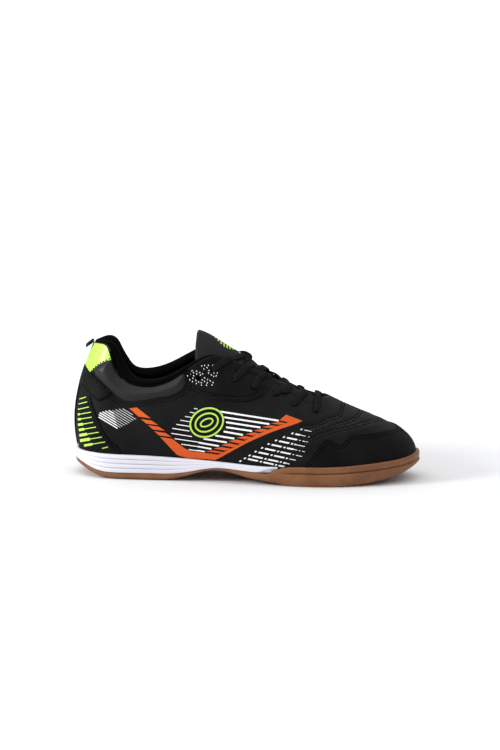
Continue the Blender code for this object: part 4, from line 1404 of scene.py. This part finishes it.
for i, half in enumerate(TONGUE_BAR_HALVES):
    x = TONGUE_BAR_START + i * TONGUE_BAR_STEP
    end = x + TONGUE_BAR_LONG
    shape = [(x, -half), (end, -half), (end, half), (x, half)]
    lay(lime_form, cast, shape, cell=TONGUE_CELL)
for x in TONGUE_MARKS:
    for side in (-1, 1):
        near, far = side * TONGUE_MARK_START, side * TONGUE_MARK_HALF
        low, high = x + TONGUE_MARK_SLANT, x + TONGUE_MARK_SLANT + TONGUE_MARK_WIDE
        mark = [(x, near), (x + TONGUE_MARK_WIDE, near), (high, far), (low, far)]
        lay(lime_form, cast, mark, cell=TONGUE_CELL)
orange_film = film("orange_film", ORANGE, ORANGE_WORN, 0.5)
white_film = film("white_film", PRINT_WHITE, PRINT_GREY, 0.5)
lime_film = film("lime_film", LIME, LIME_DEEP, 0.45)
show("orange_print", orange_form, orange_film)
show("white_print", white_form, white_film)
show("lime_print", lime_form, lime_film)
show("badge_rings", ring_form, lime_film)
show("badge_plates", badge_form, overlay_leather)

# Stitching: bonded black thread in short stitches, sunk in the leather, double along the overlays
# and the pads, and single round the throat, the straps' ends and the heel tabs.
STITCH_LONG = 0.0019
STITCH_WIDE = 0.0011
STITCH_HIGH = 0.00066
STITCH_PITCH = 0.0029
THREAD_BLACK = (0.0003, 0.0003, 0.0004)
THREAD_GREY = (0.0012, 0.0012, 0.0014)
PAD_SEAM_PX = (
    (114.5, 398.4), (122.4, 402.6), (132.7, 404.0), (145, 402.4), (157, 400.2),
    (171.9, 397.5), (182.4, 392.4), (187.4, 386.5), (188.3, 379), (186.5, 371),
)
EYESTAY_SEAM_PX = (
    (190.5, 389.5), (205.4, 394.7), (229.7, 398.7), (244.2, 399.2), (257.0, 394.8),
    (266.2, 389.0),
)
THROAT_SEAM_PX = (
    (236, 370.0), (252, 373.6), (270.5, 378.6), (282.5, 388.0), (293, 394.2),
    (303.6, 400.2), (313, 402.8),
)
COUNTER_SEAM_PX = beside(COUNTER_EDGE_PX, 1.1)[2:-1]
STRAP_EDGE_PX = ((90.6, 373.6), (95.2, 378.6), (103.4, 386.4), (110.0, 392.8))
STRAP_END_PX = ((109.6, 394.2), (98.4, 399.8), (92.6, 395.6), (87.4, 390.4), (83.4, 385.2))
TAB_SEAM_PX = ((91.2, 370.8), (95.6, 366.4), (100.6, 362.6), (105.4, 360.4), (109.4, 358.9))
TOE_SEAM_GAPS_PX = (1.35, 4.05)
TOE_SEAM_RIDGE = 0.2641


def sew(form, places, tree):
    """Sews a line: one small stitch after another, each lying along it on the skin."""
    spots = [tree.find_nearest(place) for place in curve_through(places, STITCH_PITCH)]
    for i, (place, normal, _, _) in enumerate(spots):
        ahead = spots[min(i + 1, len(spots) - 1)][0] - spots[max(i - 1, 0)][0]
        ahead = (ahead - normal * ahead.dot(normal)).normalized()
        axes = Matrix((ahead, normal.cross(ahead), normal)).transposed().to_4x4()
        size = Matrix.Diagonal((STITCH_LONG, STITCH_WIDE, STITCH_HIGH, 1))
        bmesh.ops.create_icosphere(
            form, subdivisions=1, radius=0.5, matrix=Matrix.Translation(place) @ axes @ size
        )


thread, at = new_finish("black_thread", THREAD_BLACK, 0.8, Specular_IOR_Level=0.01)
twist = (at.part("X") * 9000 + at.part("Z") * 9000).sine() * 0.5 + 0.5
finish_with(
    thread,
    colour=twist.mixed(rgba(THREAD_BLACK), rgba(THREAD_GREY)),
    roughness=twist * 0.1 + 0.6,
    height=twist,
    relief=0.00008,
)
seams = bmesh.new()
for gap in TOE_SEAM_GAPS_PX:
    pixels = beside(TOE_GUARD_EDGE_PX, gap)[:-2]
    vamp_rows.append(line_over(skin, pixels, TOE_SEAM_RIDGE + gap * METRES_PER_PIXEL))
for row in vamp_rows:
    sew(seams, row, skin)
for inner in (False, True):
    for pixels, gaps, ground in (
        (PAD_SEAM_PX, (0.0, SEAM_GAP_PX), skin),
        (EYESTAY_SEAM_PX, (0.0, -SEAM_GAP_PX), skin),
        (THROAT_SEAM_PX, (0.0,), skin),
        (COUNTER_SEAM_PX, (0.0, SEAM_GAP_PX), skin),
        (STRAP_EDGE_PX, (0.0, SEAM_GAP_PX * 0.8), skin),
        (STRAP_END_PX, (0.0,), skin),
        (TAB_SEAM_PX, (0.0,), tab_skin),
    ):
        for gap in gaps:
            sew(seams, line_on(ground, beside(pixels, gap), inner), ground)
show("seam_stitches", seams, thread)

# Lace: one flat black cotton lace, from a straight bar over the front pair of eyelets criss-cross
# up to the second pair. Each strand leaves its eyelet, crosses over the tongue and dives under
# the throat's far edge. The hidden ends stop behind the second pair.
LACE_BLACK = (0.0016, 0.0016, 0.0019)
LACE_GREY = (0.0085, 0.0085, 0.0092)
LACE_WIDE = 0.0057
LACE_THICK = 0.0015
LACE_AT_HOLE = 0.0032
LACE_STEP = 0.0012
LACE_SIDES = 12
LACE_DEPTH = 0.004
LACE_GRIP = 0.0055
LACE_SWELL = 0.3
LACE_SETTLES = 40
LACE_DRAW = 0.4
LACE_FIXED_START = 5
LACE_FIXED_END = 6
LACE_CLEAR = 0.00025
SKIN_SHARE = 0.7
SKIN_LEAST = 0.3
NORMAL_SMOOTHINGS = 12
LACE_REACH = 0.004
LACE_TAIL_PX = ((1.2, 4.2, 0.0006), (1.8, 8.0, -0.0006))
INSTEP_CORE = 0.030
INSTEP_LEAN = 0.45
BRAID_PITCH = 0.0017
STRANDS_PX = (
    (
        ((219, 364.3), (226, 360.6), (234, 358.3), (241, 357.0)),
        ((246.6, 359), (250, 364.4), (252.6, 368.2)),
    ),
    (((239.5, 373.8), (246, 368), (252, 363.2)), ((258.6, 365.4), (261.6, 371))),
    (((257, 381.5), (261.5, 374.4), (264.6, 370)), ((272, 376), (281, 381.6))),
    (((279.6, 391), (285, 387), (289, 384.4)), ((289.4, 384.6), (291, 387.6))),
    (((299, 397.6), (303.3, 392.4)), ((304.4, 391.4), (308.4, 396.8))),
)
BAR_PX = ((317.4, 404.5), (318.4, 399), (316.6, 393.6))

lace_ground = tree_of(outer_skin, *ground_forms)
lace_trees = [lace_ground]
rest = LACE_THICK / 2 + LACE_CLEAR


def settle(path, fixed_start, fixed_end):
    """Draws a strand tight and keeps it off everything that it lies on."""
    for _ in range(LACE_SETTLES):
        for i in range(fixed_start, len(path) - fixed_end):
            path[i] = path[i].lerp((path[i - 1] + path[i + 1]) / 2, LACE_DRAW)
            for tree in lace_trees:
                near, normal, _, away = tree.find_nearest(path[i])
                gap = path[i] - near
                if gap.dot(normal) < 0 and away < LACE_REACH:
                    path[i] = near + normal * rest
                elif 0 < away < rest:
                    path[i] = near + gap * (rest / away)


def lay_lace(form, path, held):
    """Makes the band along a settled path, narrower at the held ends, lying on the shoe."""
    normals = []
    for place in path:
        bulge = Vector((INSTEP_LEAN * INSTEP_CORE, place.y, INSTEP_CORE)).normalized()
        normal = lace_ground.find_nearest(place)[1]
        if normal.dot(bulge) > SKIN_LEAST:
            bulge = (bulge + normal * SKIN_SHARE).normalized()
        normals.append(bulge)
    for _ in range(NORMAL_SMOOTHINGS):
        soft = [normals[0]]
        for i in range(1, len(path) - 1):
            soft.append((normals[i - 1] + normals[i] * 2 + normals[i + 1]).normalized())
        normals = soft + [normals[-1]]
    wides, thicks = [], []
    for i in range(len(path)):
        grip = max(bell(abs(i - hold) * LACE_STEP, LACE_GRIP) for hold in held)
        wides.append(LACE_WIDE * (1 - grip) + LACE_AT_HOLE * grip)
        thicks.append(LACE_THICK * (1 + LACE_SWELL * grip))
    strand = bmesh.new()
    ribbon(strand, path, normals, wides, thicks, LACE_SIDES)
    bmesh.ops.recalc_face_normals(strand, faces=strand.faces)
    lace_trees.append(tree_of(strand))
    pour(strand, form)


def lifted(px, py, inner, tree=lace_ground, height=rest):
    """A place over a skin, under a pixel of the photo."""
    place, normal = seen_on(tree, px, py, inner)
    return place + normal * height


cotton, at = new_finish("braided_black_cotton", LACE_BLACK, 0.85, Specular_IOR_Level=0.10)
run = at.named("along") * (2 * math.pi / BRAID_PITCH)
lean = at.named("across") * 5.2
braid = (run + lean).sine() * (run - lean).sine() * 0.5 + 0.5
tone = (braid * 0.7 + at.noise(900) * 0.4).between(0.2, 0.9)
finish_with(
    cotton,
    colour=tone.mixed(rgba(LACE_BLACK), rgba(LACE_GREY)),
    roughness=braid * 0.1 + 0.78,
    height=braid + at.noise(2500) * 0.3,
    relief=0.00030,
)
bar_form = bmesh.new()
(outer_end, outer_normal), (inner_end, inner_normal) = holes[0][-1], holes[1][-1]
knots = [outer_end - outer_normal * LACE_DEPTH, outer_end + outer_normal * rest]
knots += [lifted(x, y, False) for x, y in BAR_PX]
knots += [lifted(x, y, True) for x, y in BAR_PX[::-1]]
knots += [inner_end + inner_normal * rest, inner_end - inner_normal * LACE_DEPTH]
path = curve_through(knots, LACE_STEP)
settle(path, LACE_FIXED_START, LACE_FIXED_START)
lay_lace(bar_form, path, (0, len(path)))
show("lace_straight_bar", bar_form, cotton, "lace_bar")

for pair in range(len(STRANDS_PX), 0, -1):
    crossing = bmesh.new()
    near_px, far_px = STRANDS_PX[pair - 1]
    for inner in (pair % 2 == 0, pair % 2 == 1):
        start, normal = holes[inner][pair]
        knots = [start - normal * LACE_DEPTH, start + normal * rest]
        knots += [lifted(x, y, inner) for x, y in near_px]
        knots += [lifted(x, y, not inner, tongue_skin) for x, y in far_px]
        x, y = far_px[-1]
        for across, down, height in LACE_TAIL_PX:
            knots.append(lifted(x + across, y + down, not inner, tongue_skin, height))
        path = curve_through(knots, LACE_STEP)
        settle(path, LACE_FIXED_START, LACE_FIXED_END)
        lay_lace(crossing, path, (0,))
    show(f"lace_pair_{pair}", crossing, cotton, f"lace_crossing_{pair}")
